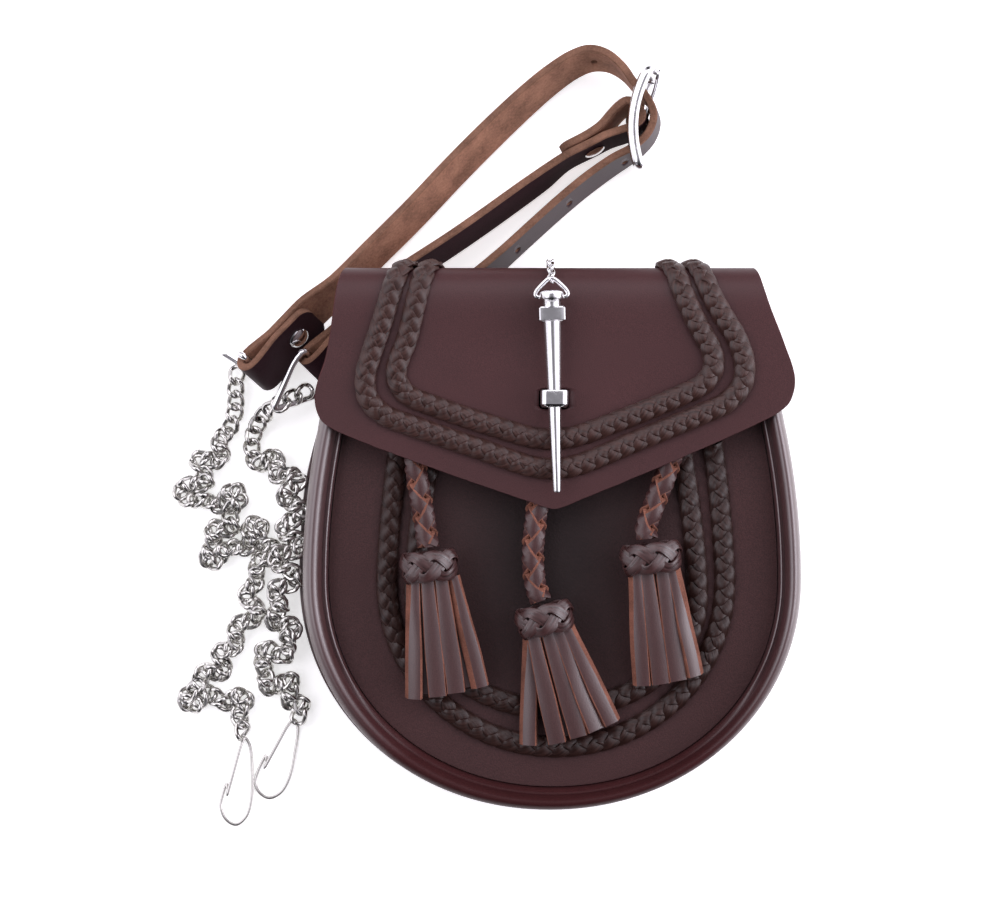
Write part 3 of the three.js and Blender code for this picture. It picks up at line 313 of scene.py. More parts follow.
CLIP_ROUTES = {
    "left": [
        (-125.1, -99.2, 2.6), (-122.3, -89, 2.6), (-119.6, -79.4, 2), (-118.2, -76.6, 1.2),
        (-116.5, -79, 0.9), (-115.4, -90, 0.9), (-115.7, -100.6, 0.9), (-117.7, -107.2, 0.9),
        (-121.7, -110.4, 0.9), (-125.7, -108.2, 0.9), (-127.6, -103.4, 0.9), (-127, -99.4, 0.9),
        (-125.3, -94.4, 0.9), (-125, -96.6, 1.7),
    ],
    "right": [
        (-110.7, -88.5, 2.6), (-105.8, -79.6, 2.6), (-101.2, -71.4, 2), (-99.1, -69.4, 1.2),
        (-97.7, -71.4, 0.9), (-98.7, -82.4, 0.9), (-101, -92.4, 0.9), (-104.4, -98, 0.9),
        (-108.9, -100, 0.9), (-112.7, -97.7, 0.9), (-114.1, -94.1, 0.9), (-113.1, -89.5, 0.9),
        (-109.9, -83.4, 0.9), (-109.9, -85.8, 1.7),
    ],
}

# Camera straight above the pouch, as the photograph was taken
CAMERA_AT = (-18.76, 35.65, 1084)
LENS = 100
SENSOR = 36

# Soft lights: place, size, whose power and what share of it
SOFT_BOXES = {
    "soft_box_right": ((640, 40, 370), (560, 340), "side_power", 1.1),
    "soft_box_left": ((-520, 60, 600), (760, 430), "side_power", 0.95),
    "soft_box_head": ((-20, 600, 680), (900, 420), "end_power", 1.0),
}
LIGHT_AIM = Vector((0, 20, 20))
LIGHT_TINT = (0.97, 0.94, 1)
ROOM_TINT = (0.94, 0.91, 1, 1)
FLOOR_HALF = 2.5


class SporranColours(bpy.types.PropertyGroup):
    """Colours of the leathers and the steel."""

    flap: FloatVectorProperty(
        name="Flap leather", description="Glazed cowhide of the flap and back",
        subtype="COLOR", size=3, min=0, max=1, default=linear("#402223"))
    rim: FloatVectorProperty(
        name="Rim leather", description="Polished cowhide of the gusset and its rolled rim",
        subtype="COLOR", size=3, min=0, max=1, default=linear("#412122"))
    panel: FloatVectorProperty(
        name="Front leather", description="Fine grained cowhide of the front panel",
        subtype="COLOR", size=3, min=0, max=1, default=linear("#3b2222"))
    plait: FloatVectorProperty(
        name="Plait lace", description="Waxed leather lace of the plaited trims",
        subtype="COLOR", size=3, min=0, max=1, default=linear("#38231f"))
    tassel: FloatVectorProperty(
        name="Tassel leather", description="Cut leather of the tassels",
        subtype="COLOR", size=3, min=0, max=1, default=linear("#432827"))
    strap: FloatVectorProperty(
        name="Strap face", description="Polished grain side of the strap",
        subtype="COLOR", size=3, min=0, max=1, default=linear("#342126"))
    flesh: FloatVectorProperty(
        name="Flesh side", description="Suede flesh side of the strap",
        subtype="COLOR", size=3, min=0, max=1, default=linear("#946c58"))
    raw_edge: FloatVectorProperty(
        name="Cut edge", description="Undyed fibres along cut edges",
        subtype="COLOR", size=3, min=0, max=1, default=linear("#7a4f41"))
    steel: FloatVectorProperty(
        name="Plated steel", description="Chrome plate of the peg, staple, buckle, rings and rivets",
        subtype="COLOR", size=3, min=0, max=1, default=linear("#e9e8e9"))
    wire: FloatVectorProperty(
        name="Plated wire", description="Nickel plate of the chains and clips",
        subtype="COLOR", size=3, min=0, max=1, default=linear("#c6c4c0"))


class SporranSizes(bpy.types.PropertyGroup):
    """Sizes of the laced, cut and linked detail."""

    plait_period: FloatProperty(
        name="Plait period", description="Length in which a lace comes back to the same edge of a plait",
        default=16 * MM, min=6 * MM, unit="LENGTH")
    lace_wide: FloatProperty(
        name="Lace width", description="Width of each lace in the plaited trims",
        default=5.5 * MM, min=1 * MM, unit="LENGTH")
    lace_thick: FloatProperty(
        name="Lace thickness", description="Thickness of each lace in the plaited trims", default=1.6 * MM,
        min=0.4 * MM, unit="LENGTH")
    strip_wide: FloatProperty(
        name="Strip width", description="Width of the tassels' cut strips", default=6.9 * MM, min=1 * MM,
        unit="LENGTH")
    strip_thick: FloatProperty(
        name="Strip thickness", description="Thickness of the tassels' cut strips",
        default=1.9 * MM, min=0.4 * MM, unit="LENGTH")
    link_long: FloatProperty(
        name="Link length", description="Outside length of a chain link",
        default=8.7 * MM, min=2 * MM, unit="LENGTH")
    link_wide: FloatProperty(
        name="Link width", description="Outside width of a chain link",
        default=7.5 * MM, min=2 * MM, unit="LENGTH")
    link_wire: FloatProperty(
        name="Link wire", description="Thickness of the chain's wire",
        default=1.85 * MM, min=0.2 * MM, unit="LENGTH")


class SporranStage(bpy.types.PropertyGroup):
    """Floor and studio lights."""

    floor: FloatVectorProperty(
        name="Floor", description="Pale paper sweep",
        subtype="COLOR", size=3, min=0, max=1, default=(0.9, 0.9, 0.9))
    floor_glow: FloatProperty(
        name="Floor glow", description="Light that the lit paper gives by itself", default=0.55, min=0)
    side_power: FloatProperty(
        name="Side lights", description="Power of the soft boxes beside the pouch",
        default=1.5, min=0, unit="POWER")
    end_power: FloatProperty(
        name="Head light", description="Power of the soft box beyond the fold",
        default=2.6, min=0, unit="POWER")
    ceiling: FloatProperty(
        name="Ceiling", description="Strength of the light from the pale ceiling", default=0.3, min=0)
    walls: FloatProperty(
        name="Walls", description="Strength of the light from the dark walls", default=0.06, min=0)
    right_wall: FloatProperty(
        name="Right wall", description="Strength of the light from the white wall on the right",
        default=2.8, min=0)
    left_wall: FloatProperty(
        name="Left wall", description="Strength of the light from the white wall on the left",
        default=1.4, min=0)


def put(tree, kind, links=None, **settings):
    """Adds a node with its own settings, and sets or links its inputs."""
    made = tree.nodes.new(kind)
    for key, value in settings.items():
        setattr(made, key, value)
    for key, value in (links or {}).items():
        if isinstance(value, bpy.types.NodeSocket):
            tree.links.new(value, made.inputs[key])
        else:
            made.inputs[key].default_value = value
    return made


def shader(name):
    """New material, its tree and its surface shader."""
    material = bpy.data.materials.new(name)
    material.use_nodes = True
    return material, material.node_tree, material.node_tree.nodes["Principled BSDF"]


def shade(colour, factor):
    """Lighter or darker shade of a colour, with full opacity."""
    return tuple(min(1.0, c * factor) for c in colour) + (1.0,)


# Leather surface: patches of dye, painted shade on the middle of the front and towards the foot, and dulling
# towards the foot
DYE_PATCH = 38
MIDDLE_SHADE_REACH = (52, 72)
FOOT_SHADE = (-95, -30)
DULLED = (-80, -25)


def grained(name, colour, grain, depth, roughness, gloss, shine=0.35, painted_shade_middle=None, dull_and_shaded_foot=None):
    """Dyed and glazed cowhide: a fine pebbled grain breaks its gloss, and the dye changes slowly in tone;
    painted shade can darken the middle of the front or the foot.
    """
    material, tree, surface = shader(name)
    place = put(tree, "ShaderNodeTexCoord").outputs["Object"]
    slow = put(tree, "ShaderNodeTexNoise", {"Vector": place, "Scale": 1 / (DYE_PATCH * MM), "Detail": 4.0})
    cells = put(tree, "ShaderNodeTexVoronoi",
                {"Vector": place, "Scale": 1 / (grain * MM), "Randomness": 1.0})
    pores = put(tree, "ShaderNodeTexNoise",
                {"Vector": place, "Scale": 1 / (0.45 * grain * MM), "Detail": 3.0})
    tone = put(tree, "ShaderNodeMapRange", {0: slow.outputs[0], 1: 0.3, 2: 0.7, 3: 0.15, 4: 0.85})
    dye = put(tree, "ShaderNodeMix", {0: tone.outputs[0], 6: shade(colour, 0.88), 7: shade(colour, 1.1)},
              data_type="RGBA")
    speck_and_shade = put(tree, "ShaderNodeMapRange", {0: pores.outputs[0], 1: 0.36, 2: 0.66, 3: 0.72, 4: 1.22})
    # Painted shade: the colour darkens towards the middle of the front, where the flap and tassels shade it
    if painted_shade_middle:
        spot = put(tree, "ShaderNodeMapping",
                   {"Vector": place,
                    "Scale": (1 / (MIDDLE_SHADE_REACH[0] * MM), 1 / (MIDDLE_SHADE_REACH[1] * MM), 0.0)})
        reach = put(tree, "ShaderNodeVectorMath", {0: spot.outputs[0]}, operation="LENGTH")
        middle_shade = put(tree, "ShaderNodeMapRange",
                  {0: reach.outputs["Value"], 1: 0.25, 2: 1.1, 3: painted_shade_middle, 4: 1.0})
        speck_and_shade = put(tree, "ShaderNodeMath", {0: speck_and_shade.outputs[0], 1: middle_shade.outputs[0]}, operation="MULTIPLY")
    # Painted shade: the colour darkens towards the foot, which gets little light; the shine is dulled there
    # as well
    if dull_and_shaded_foot:
        up = put(tree, "ShaderNodeSeparateXYZ", {"Vector": place}).outputs["Y"]
        foot_shade = put(tree, "ShaderNodeMapRange",
                   {0: up, 1: FOOT_SHADE[0] * MM, 2: FOOT_SHADE[1] * MM, 3: 0.74, 4: 1.0})
        speck_and_shade = put(tree, "ShaderNodeMath", {0: speck_and_shade.outputs[0], 1: foot_shade.outputs[0]}, operation="MULTIPLY")
    toned = put(tree, "ShaderNodeMix", {0: 1.0, 6: dye.outputs[2], 7: speck_and_shade.outputs[0]}, data_type="RGBA",
                blend_type="MULTIPLY")
    tree.links.new(toned.outputs[2], surface.inputs["Base Color"])
    wear = put(tree, "ShaderNodeMapRange", {0: pores.outputs[0], 1: 0.3, 2: 0.7, 3: roughness - gloss,
                                            4: roughness + gloss})
    tree.links.new(wear.outputs[0], surface.inputs["Roughness"])
    height = put(tree, "ShaderNodeMath", {0: cells.outputs["Distance"], 1: pores.outputs[0]},
                 operation="ADD")
    bump = put(tree, "ShaderNodeBump",
               {"Strength": 0.6, "Distance": depth * MM, "Height": height.outputs[0]})
    tree.links.new(bump.outputs[0], surface.inputs["Normal"])
    surface.inputs["Specular IOR Level"].default_value = shine
    if dull_and_shaded_foot:
        rubbed = put(tree, "ShaderNodeMapRange",
                     {0: up, 1: DULLED[0] * MM, 2: DULLED[1] * MM, 3: dull_and_shaded_foot, 4: shine})
        tree.links.new(rubbed.outputs[0], surface.inputs["Specular IOR Level"])
        tree.links.new(rubbed.outputs[0], surface.inputs["Coat Weight"])
        surface.inputs["Coat Roughness"].default_value = 0.36
    return material


def waxed_lace(name, colour, roughness, shine):
    """Leather lace drawn tight and waxed: fine stretch lines along its length and small bright glints."""
    material, tree, surface = shader(name)
    lay = put(tree, "ShaderNodeAttribute", attribute_name="lay").outputs["Vector"]
    drawn = put(tree, "ShaderNodeMapping", {"Vector": lay, "Scale": (1 / (0.85 * MM), 1 / (7 * MM), 1.0)})
    lines = put(tree, "ShaderNodeTexNoise", {"Vector": drawn.outputs[0], "Scale": 1.0, "Detail": 4.0})
    tone = put(tree, "ShaderNodeMapRange", {0: lines.outputs[0], 1: 0.3, 2: 0.7, 3: 0.0, 4: 1.0})
    dye = put(tree, "ShaderNodeMix", {0: tone.outputs[0], 6: shade(colour, 0.55), 7: shade(colour, 1.5)},
              data_type="RGBA")
    tree.links.new(dye.outputs[2], surface.inputs["Base Color"])
    wear = put(tree, "ShaderNodeMapRange", {0: lines.outputs[0], 1: 0.3, 2: 0.7, 3: roughness - 0.08,
                                            4: roughness + 0.1})
    tree.links.new(wear.outputs[0], surface.inputs["Roughness"])
    bump = put(tree, "ShaderNodeBump", {"Strength": 0.7, "Distance": 0.24 * MM, "Height": lines.outputs[0]})
    tree.links.new(bump.outputs[0], surface.inputs["Normal"])
    surface.inputs["Specular IOR Level"].default_value = shine
    return material


def fibrous(name, colour, fibre, depth):
    """Cut or split leather: loose fibres that scatter the light, flecked lighter and darker."""
    material, tree, surface = shader(name)
    place = put(tree, "ShaderNodeTexCoord").outputs["Object"]
    nap = put(tree, "ShaderNodeTexNoise", {"Vector": place, "Scale": 1 / (fibre * MM), "Detail": 6.0,
                                           "Roughness": 0.7})
    patch = put(tree, "ShaderNodeTexNoise", {"Vector": place, "Scale": 1 / (9 * MM), "Detail": 3.0})
    both = put(tree, "ShaderNodeMath", {0: nap.outputs[0], 1: patch.outputs[0]}, operation="ADD")
    tone = put(tree, "ShaderNodeMapRange", {0: both.outputs[0], 1: 0.75, 2: 1.28, 3: 0.0, 4: 1.0})
    dye = put(tree, "ShaderNodeMix", {0: tone.outputs[0], 6: shade(colour, 0.6), 7: shade(colour, 1.35)},
              data_type="RGBA")
    tree.links.new(dye.outputs[2], surface.inputs["Base Color"])
    bump = put(tree, "ShaderNodeBump", {"Strength": 0.8, "Distance": depth * MM, "Height": nap.outputs[0]})
    tree.links.new(bump.outputs[0], surface.inputs["Normal"])
    surface.inputs["Roughness"].default_value = 0.85
    surface.inputs["Specular IOR Level"].default_value = 0.2
    return material


def plated_steel(name, colour):
    """Drawn wire and turned steel, plated: mirror bright with faint polishing haze."""
    material, tree, surface = shader(name)
    place = put(tree, "ShaderNodeTexCoord").outputs["Object"]
    haze = put(tree, "ShaderNodeTexNoise", {"Vector": place, "Scale": 1 / (2.2 * MM), "Detail": 4.0})
    wear = put(tree, "ShaderNodeMapRange", {0: haze.outputs[0], 1: 0.3, 2: 0.75, 3: 0.09, 4: 0.22})
    tree.links.new(wear.outputs[0], surface.inputs["Roughness"])
    tone = put(tree, "ShaderNodeMix", {0: haze.outputs[0], 6: shade(colour, 0.9), 7: shade(colour, 1.0)},
               data_type="RGBA")
    tree.links.new(tone.outputs[2], surface.inputs["Base Color"])
    surface.inputs["Metallic"].default_value = 1.0
    return material


# Finishes: name, maker, colour and its tone, and the maker's settings; comments say what the eye gets
FINISHES = {
    # Satin with a hair-fine grain
    "flap": ("glazed_cowhide_flap", grained, "flap", 1.0,
             {"grain": 0.55, "depth": 0.03, "roughness": 0.47, "gloss": 0.05}),
    # Polished roll with long soft highlights, rubbed dull at the foot and darkened there by painted shade
    "rim": ("burnished_cowhide_rim", grained, "rim", 1.0,
            {"grain": 0.8, "depth": 0.03, "roughness": 0.42, "gloss": 0.05, "shine": 1.0,
             "dull_and_shaded_foot": 0.06}),
    # Dry satin face with a fine visible grain, with painted shade darkening the middle under the flap and
    # tassels
    "panel": ("boarded_cowhide_front", grained, "panel", 1.0,
              {"grain": 0.9, "depth": 0.09, "roughness": 0.55, "gloss": 0.07, "shine": 0.28,
               "painted_shade_middle": 0.28}),
    # Tight laces with small bright glints
    "plait": ("waxed_lace_plait", waxed_lace, "plait", 1.0, {"roughness": 0.38, "shine": 0.35}),
    # The same laces with painted shade, darker on the front where they lie in shade
    "plait_painted_shade": ("waxed_lace_front", waxed_lace, "plait", 0.62, {"roughness": 0.36, "shine": 0.3}),
    # Broad laces with a strong sheen
    "knot": ("waxed_lace_knot", waxed_lace, "tassel", 0.75, {"roughness": 0.32, "shine": 0.7}),
    # Narrow strips with a soft sheen
    "cord": ("plaited_cowhide_cord", grained, "tassel", 1.0,
             {"grain": 0.7, "depth": 0.04, "roughness": 0.4, "gloss": 0.05, "shine": 0.5}),
    # Smooth strips that shine as they turn to the light
    "strip": ("cut_cowhide_strip", grained, "tassel", 1.0,
              {"grain": 0.6, "depth": 0.04, "roughness": 0.38, "gloss": 0.05, "shine": 0.9}),
    # Grain side with a slight polish
    "strap": ("polished_cowhide_strap", grained, "strap", 1.0,
              {"grain": 0.6, "depth": 0.02, "roughness": 0.42, "gloss": 0.04, "shine": 0.14}),
    # Grain side left dark and dry by oil
    "dull_strap": ("oiled_cowhide_strap", grained, "strap", 1.0,
                   {"grain": 0.6, "depth": 0.02, "roughness": 0.6, "gloss": 0.04, "shine": 0.02}),
    # Oiled fibres, darker than the flesh side
    "strap_edge": ("oiled_cowhide_edge", fibrous, "flesh", 0.62, {"fibre": 0.8, "depth": 0.25}),
    # Flecked suede nap
    "flesh": ("split_cowhide_flesh", fibrous, "flesh", 1.0, {"fibre": 1.1, "depth": 0.12}),
    # Bare fibres, lighter than the dyed face
    "raw": ("cut_cowhide_edge", fibrous, "raw_edge", 1.0, {"fibre": 0.7, "depth": 0.2}),
    # Fibres dyed like the flap
    "inked_edge": ("inked_cowhide_edge", fibrous, "flap", 1.3, {"fibre": 0.7, "depth": 0.15}),
    # Dark suede inside the pouch
    "lining": ("split_cowhide_inside", fibrous, "flesh", 0.6, {"fibre": 1.1, "depth": 0.1}),
    # Mirror bright plate
    "steel": ("bright_plated_steel", plated_steel, "steel", 1.0, {}),
    # Greyer plate on drawn wire
    "wire": ("nickel_plated_wire", plated_steel, "wire", 1.0, {}),
}


def finish(key, colours):
    """Finds or makes one of the sporran's materials."""
    name, maker, colour, tone, settings = FINISHES[key]
    return bpy.data.materials.get(name) or maker(name, shade(getattr(colours, colour), tone)[:3],
                                                 **settings)


def finishes(context, *keys):
    """The materials of a piece, in the order of its finish numbers."""
    return [finish(key, context.scene.sporran_colours) for key in keys]


class Build:
    """Points, faces and finish numbers of one piece while it is made."""

    def __init__(self):
        self.points = []
        self.lays = []
        self.faces = []
        self.finishes = []

    def loft(self, rows, finish=0, closed=False, cap=0):
        """Joins rings of points; finish is one number, or one for each place round a ring."""
        base = len(self.points)
        count = len(rows[0])
        along = 0.0
        for r, row in enumerate(rows):
            along += (row[0] - rows[r - 1][0]).length if r else 0.0
            across = 0.0
            for i, point in enumerate(row):
                across += (point - row[i - 1]).length if i else 0.0
                self.points.append(point)
                self.lays += (across, along, 0.0)
        for r in range(len(rows) if closed else len(rows) - 1):
            a = base + r * count
            b = base + (r + 1) % len(rows) * count
            for i in range(count):
                j = (i + 1) % count
                self.faces.append((a + i, a + j, b + j, b + i))
                self.finishes.append(finish if isinstance(finish, int) else finish[i])
        if not closed:
            last = base + (len(rows) - 1) * count
            self.faces += [tuple(range(base + count - 1, base - 1, -1)), tuple(range(last, last + count))]
            self.finishes += [cap, cap]

    def mesh(self, name, materials, sharp=40):
        """Smooth shaded mesh with creases at its sharp edges."""
        mesh = bpy.data.meshes.new(name)
        mesh.from_pydata([point * MM for point in self.points], [], self.faces)
        for material in materials:
            mesh.materials.append(material)
        mesh.polygons.foreach_set("material_index", self.finishes)
        mesh.polygons.foreach_set("use_smooth", [True] * len(mesh.polygons))
        lay = mesh.attributes.new("lay", "FLOAT_VECTOR", "POINT")
        lay.data.foreach_set("vector", [c * MM for c in self.lays])
        work = bmesh.new()
        work.from_mesh(mesh)
        bmesh.ops.recalc_face_normals(work, faces=work.faces)
        work.to_mesh(mesh)
        work.free()
        mesh.set_sharp_from_angle(angle=math.radians(sharp))
        return mesh

    def make(self, name, materials, slot, nodes, sharp=40):
        """Piece of the sporran in place of its plain solids."""
        piece = bpy.data.objects.new(name, self.mesh(name, materials, sharp))
        bpy.context.collection.objects.link(piece)
        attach(piece, "root")
        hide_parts(*nodes)
        return piece


def cut(piece, cutters):
    """Cuts holes through a piece; the cutters' finish numbers are the piece's own."""
    materials = list(piece.data.materials)
    tools = []
    for i, cutter in enumerate(cutters):
        tool = bpy.data.objects.new(f"cutter_{i}", cutter.mesh(f"cutter_{i}", materials))
        bpy.context.collection.objects.link(tool)
        tools.append(tool)
        hole = piece.modifiers.new("hole", "BOOLEAN")
        hole.object = tool
        hole.operation = "DIFFERENCE"
        hole.solver = "EXACT"
    bpy.context.view_layer.update()
    graph = bpy.context.evaluated_depsgraph_get()
    mesh = bpy.data.meshes.new_from_object(piece.evaluated_get(graph))
    piece.modifiers.clear()
    piece.data = mesh
    for tool in tools:
        bpy.data.objects.remove(tool)


def smoothstep(value, low, high):
    """Eased step from 0 at low to 1 at high."""
    t = min(max((value - low) / (high - low), 0), 1)
    return t * t * (3 - 2 * t)


def vectors(table):
    """Points of a table as vectors."""
    return [Vector((*row, 0, 0)[:3]) for row in table]


def spline(points, per_span=12, closed=False):
    """Dense points on a smooth curve through the given ones."""
    count = len(points)
    dense = []
    for i in range(count if closed else count - 1):
        b, c = points[i], points[(i + 1) % count]
        a = points[i - 1] if closed or i else b * 2 - c
        d = points[(i + 2) % count] if closed or i + 2 < count else c * 2 - b
        ab, bc, cd = [max(math.sqrt((q - p).length), 1e-6) for p, q in ((a, b), (b, c), (c, d))]
        leave = ((b - a) / ab - (c - a) / (ab + bc) + (c - b) / bc) * bc
        reach = ((c - b) / bc - (d - b) / (bc + cd) + (d - c) / cd) * bc
        for k in range(per_span):
            t = k / per_span
            dense.append(b * (2 * t ** 3 - 3 * t ** 2 + 1) + leave * (t ** 3 - 2 * t ** 2 + t)
                         + c * (3 * t ** 2 - 2 * t ** 3) + reach * (t ** 3 - t ** 2))
    return dense + [(points[0] if closed else points[-1]).copy()]


def evenly(path, spacing, *others):
    """Resamples a dense path at even spacing, with other lists of vectors along it."""
    lengths = [0.0]
    for a, b in zip(path, path[1:]):
        lengths.append(lengths[-1] + (b - a).length)
    count = max(2, round(lengths[-1] / spacing))
    picked = []
    j = 0
    for i in range(count + 1):
        target = lengths[-1] * i / count
        while j < len(lengths) - 2 and lengths[j + 1] < target:
            j += 1
        span = lengths[j + 1] - lengths[j]
        t = (target - lengths[j]) / span if span else 0.0
        picked.append([line[j].lerp(line[j + 1], t) for line in (path, *others)])
    return [list(column) for column in zip(*picked)]


def tangents(path, closed=False):
    """Direction of travel at each point of a path."""
    count = len(path)
    ways = []
    for i in range(count):
        before = path[i - 1] if closed or i else path[0]
        after = path[(i + 1) % count] if closed or i < count - 1 else path[-1]
        ways.append((after - before).normalized())
    return ways


def tube(build, path, radius, sides=12, closed=False, up=UP, finish=0, oval=1.0):
    """Wire along a path; radius is one size, or one for each point, and oval widens it along up."""
    radii = radius if isinstance(radius, list) else [radius] * len(path)
    side = None
    rows = []
    for point, r, along in zip(path, radii, tangents(path, closed)):
        start = up.cross(along) if side is None else side
        side = (start - along * start.dot(along)).normalized()
        top = along.cross(side)
        turns = [2 * math.pi * i / sides for i in range(sides)]
        rows.append([point + side * (r * math.cos(t)) + top * (r * oval * math.sin(t)) for t in turns])
    build.loft(rows, finish, closed, finish)


def blunt(path, radius):
    """Radii of a wire whose ends are rounded off."""
    return [radius * 0.35, radius * 0.85] + [radius] * (len(path) - 4) + [radius * 0.85, radius * 0.35]


def turned(build, origin, axis, profile, sides=48):
    """Turned piece: radii at distances along an axis."""
    side = (UP if abs(axis.z) < 0.9 else Vector((1, 0, 0))).cross(axis).normalized()
    top = axis.cross(side)
    turns = [2 * math.pi * i / sides for i in range(sides)]
    build.loft([[origin + axis * at + side * (r * math.cos(t)) + top * (r * math.sin(t)) for t in turns]
                for at, r in profile])


def rounded_box(half_a, half_b, corner, per_corner=5):
    """Plan of a rectangle with round corners, as pairs round its middle."""
    pairs = []
    for k, (sa, sb) in enumerate(((1, 1), (-1, 1), (-1, -1), (1, -1))):
        for i in range(per_corner + 1):
            t = math.pi / 2 * (k + i / per_corner)
            pairs.append((sa * (half_a - corner) + corner * math.cos(t),
                          sb * (half_b - corner) + corner * math.sin(t)))
    return pairs


def ribbon(build, path, normals, wide, thick, widths):
    """Lace of low flat section with rounded edges along a path."""
    turns = [2 * math.pi * k / 14 for k in range(14)]
    section = [(math.copysign(abs(math.cos(t)) ** 0.7, math.cos(t)),
                math.copysign(abs(math.sin(t)) ** 0.75, math.sin(t)))
               for t in turns]
    rows = []
    for i, (point, normal, along) in enumerate(zip(path, normals, tangents(path))):
        across = along.cross(normal).normalized()
        out = across.cross(along)
        half = wide / 2 * widths[i]
        rows.append([point + across * (half * a) + out * (thick / 2 * b) for a, b in section])
    build.loft(rows)


def plait(build, path, outs, ways, half, period, wide, thick, swell=0.42):
    """Flat plait of three laces along a path with its outward and onward directions."""
    step = (path[1] - path[0]).length
    swing = half - wide * 0.4
    for k in range(3):
        line, normals, widths = [], [], []
        for i, (point, out, along) in enumerate(zip(path, outs, ways)):
            phase = 2 * math.pi * (i * step / period + k / 3)
            across = along.cross(out).normalized()
            rise = thick * (0.8 + swell * math.sin(2 * phase))
            line.append(point + across * (swing * math.sin(phase)) + out * rise)
            normals.append(out + across * (0.5 * math.sin(phase)))
            widths.append(1 - 0.2 * math.sin(phase) ** 4)
        ribbon(build, line, normals, wide, thick, widths)


def strip_section(wide, thick, left, right):
    """Section of a cut strip: grain above, wider flesh below, cut edges sloping by left and right."""
    a, b, r = wide / 2, thick / 2, 0.12
    low, high = left - a, a - right
    return [(-a, -b), (low - r, b - r), (low + r, b), ((low + high) / 2, b * 1.08), (high - r, b),
            (high + r, b - r), (a, -b)]


STRIP_FINISH = [1, 1, 0, 0, 1, 1, 2]


def outline():
    """Pouch outline from the top of the right side, round the bottom, to the top of the left side."""
    right = []
    side_steps, round_steps = 40, 44
    for i in range(side_steps):
        y = GUSSET_TOP_Y + (WIDEST_Y - GUSSET_TOP_Y) * i / side_steps
        arc = math.sqrt(SIDE_R ** 2 - (min(y, SIDE_TOP_Y) - WIDEST_Y) ** 2) - SIDE_R + POUCH_HALF
        right.append(Vector((arc - max(y - SIDE_TOP_Y, 0) * math.tan(SIDE_LEAN), y, 0)))
    for i in range(round_steps + 1):
        turn = math.pi / 2 * i / round_steps
        across = POUCH_HALF * max(math.cos(turn), 0) ** BOTTOM_FULL
        right.append(Vector((across, WIDEST_Y - BOTTOM_DROP * math.sin(turn) ** BOTTOM_FULL, 0)))
    whole = right + [Vector((-p.x, p.y, 0)) for p in right[-2::-1]]
    return [(point, Vector((-along.y, along.x, 0))) for point, along in zip(whole, tangents(whole))]


OUTLINE = outline()
RIGHT_SIDE = OUTLINE[:len(OUTLINE) // 2 + 1]


def flange(y):
    """Width of the back's edge outside the gusset."""
    return FLANGE * (1 - smoothstep(y, *FLANGE_FADE))


def back_at(y):
    """Height of the middle of the back sheet and its slope, up the pouch."""
    if y <= BEND_Y:
        return SHEET / 2, 0.0
    if y <= BEND_END_Y:
        slope = math.asin((y - BEND_Y) / BEND_R)
        return SHEET / 2 + BEND_R * (1 - math.cos(slope)), slope
    return BEND_END_Z + (y - BEND_END_Y) * math.tan(RISE), RISE


def fold_ease(y):
    """Share of the fold's height where the leather starts to bend early and meets the flap softly."""
    if y <= EASE_FROM_Y:
        return 1.0
    bent = min((y - EASE_FROM_Y) / (FOLD_CY + FOLD_OUT - EASE_FROM_Y), 0.999) ** EASE_POWER
    round_bend = min(max((y - FOLD_CY) / FOLD_OUT, 0), 0.999)
    return math.sqrt((1 - bent ** 2) / (1 - round_bend ** 2))


def on_flap(u, v, lift=0.0):
    """Point on the outer face of the flap and round its fold, and the direction out of it."""
    turn = max(v - FOLD_CY, 0) / FOLD_OUT
    out = Vector((0, math.sin(turn), math.cos(turn)))
    pull = smoothstep(SKEW_FROM_Y - v, 0, SKEW_LENGTH)
    plain_y = min(v, FOLD_CY) + out.y * FOLD_OUT
    high = FOLD_OUT * (fold_ease(plain_y) if out.z > 0 else 1.0)
    seat = Vector((u + FLAP_SHIFT * pull, plain_y + FLAP_SKEW * u * pull, FOLD_CZ + out.z * high))
    return seat + out * lift, out


def peg_at(distance):
    """Point on the peg's middle line, from its head."""
    return PEG_TOP + PEG_AXIS * distance


def in_buckle(u, n, w):
    """Point in the buckle's own directions."""
    return BUCKLE_AT + BUCKLE_U * u + BUCKLE_N * n + BUCKLE_W * w


def fold_round(bar, across, away, free_side, length, bulge=0.0):
    """Teardrop fold of a strap end round a bar: free end, bulged round the bar, to the strap's body."""
    out = (away - across * away.dot(across)).normalized()
    side = across.cross(out) * free_side
    layer = LAYER / 2
    plan = [(length, layer), (RIVET_FROM_BAR, layer), (13, layer), (7.5, LOOP_R - 0.6), (3.4, LOOP_R)]
    back = [(a, -b) for a, b in reversed(plan)]
    plan = [(a, b + bulge * smoothstep(RIVET_FROM_BAR - a, 0, RIVET_FROM_BAR)) for a, b in plan]
    turns = [math.pi / 2 + math.pi * i / 6 for i in range(7)]
    plan += [(LOOP_R * math.cos(t), (LOOP_R + bulge * max(math.sin(t), 0)) * math.sin(t))
             for t in turns] + back
    return [(bar + out * a + side * b, across) for a, b in plan]


def strap_station(x, y, lean_x, lean_y, lift):
    """Middle of a strap standing on its edge, and the direction of its width."""
    across = Vector((lean_x / STRAP_WIDE, lean_y / STRAP_WIDE, 0))
    lean = across.length
    across.z = math.sqrt(1 - lean ** 2)
    return Vector((x, y, GAP + lift + (STRAP_WIDE * across.z + STRAP_THICK * lean) / 2)), across


def unit(values):
    """Direction of unit length."""
    return Vector(values).normalized()


def ring_fold(ring, strap, free_side):
    """Fold of a strap's end round the bar of its ring."""
    bar, along, _ = RINGS[ring]
    return fold_round(Vector(bar), unit(along), Vector(FOLD_AWAY[strap]), free_side, FOLD_BACK[strap])


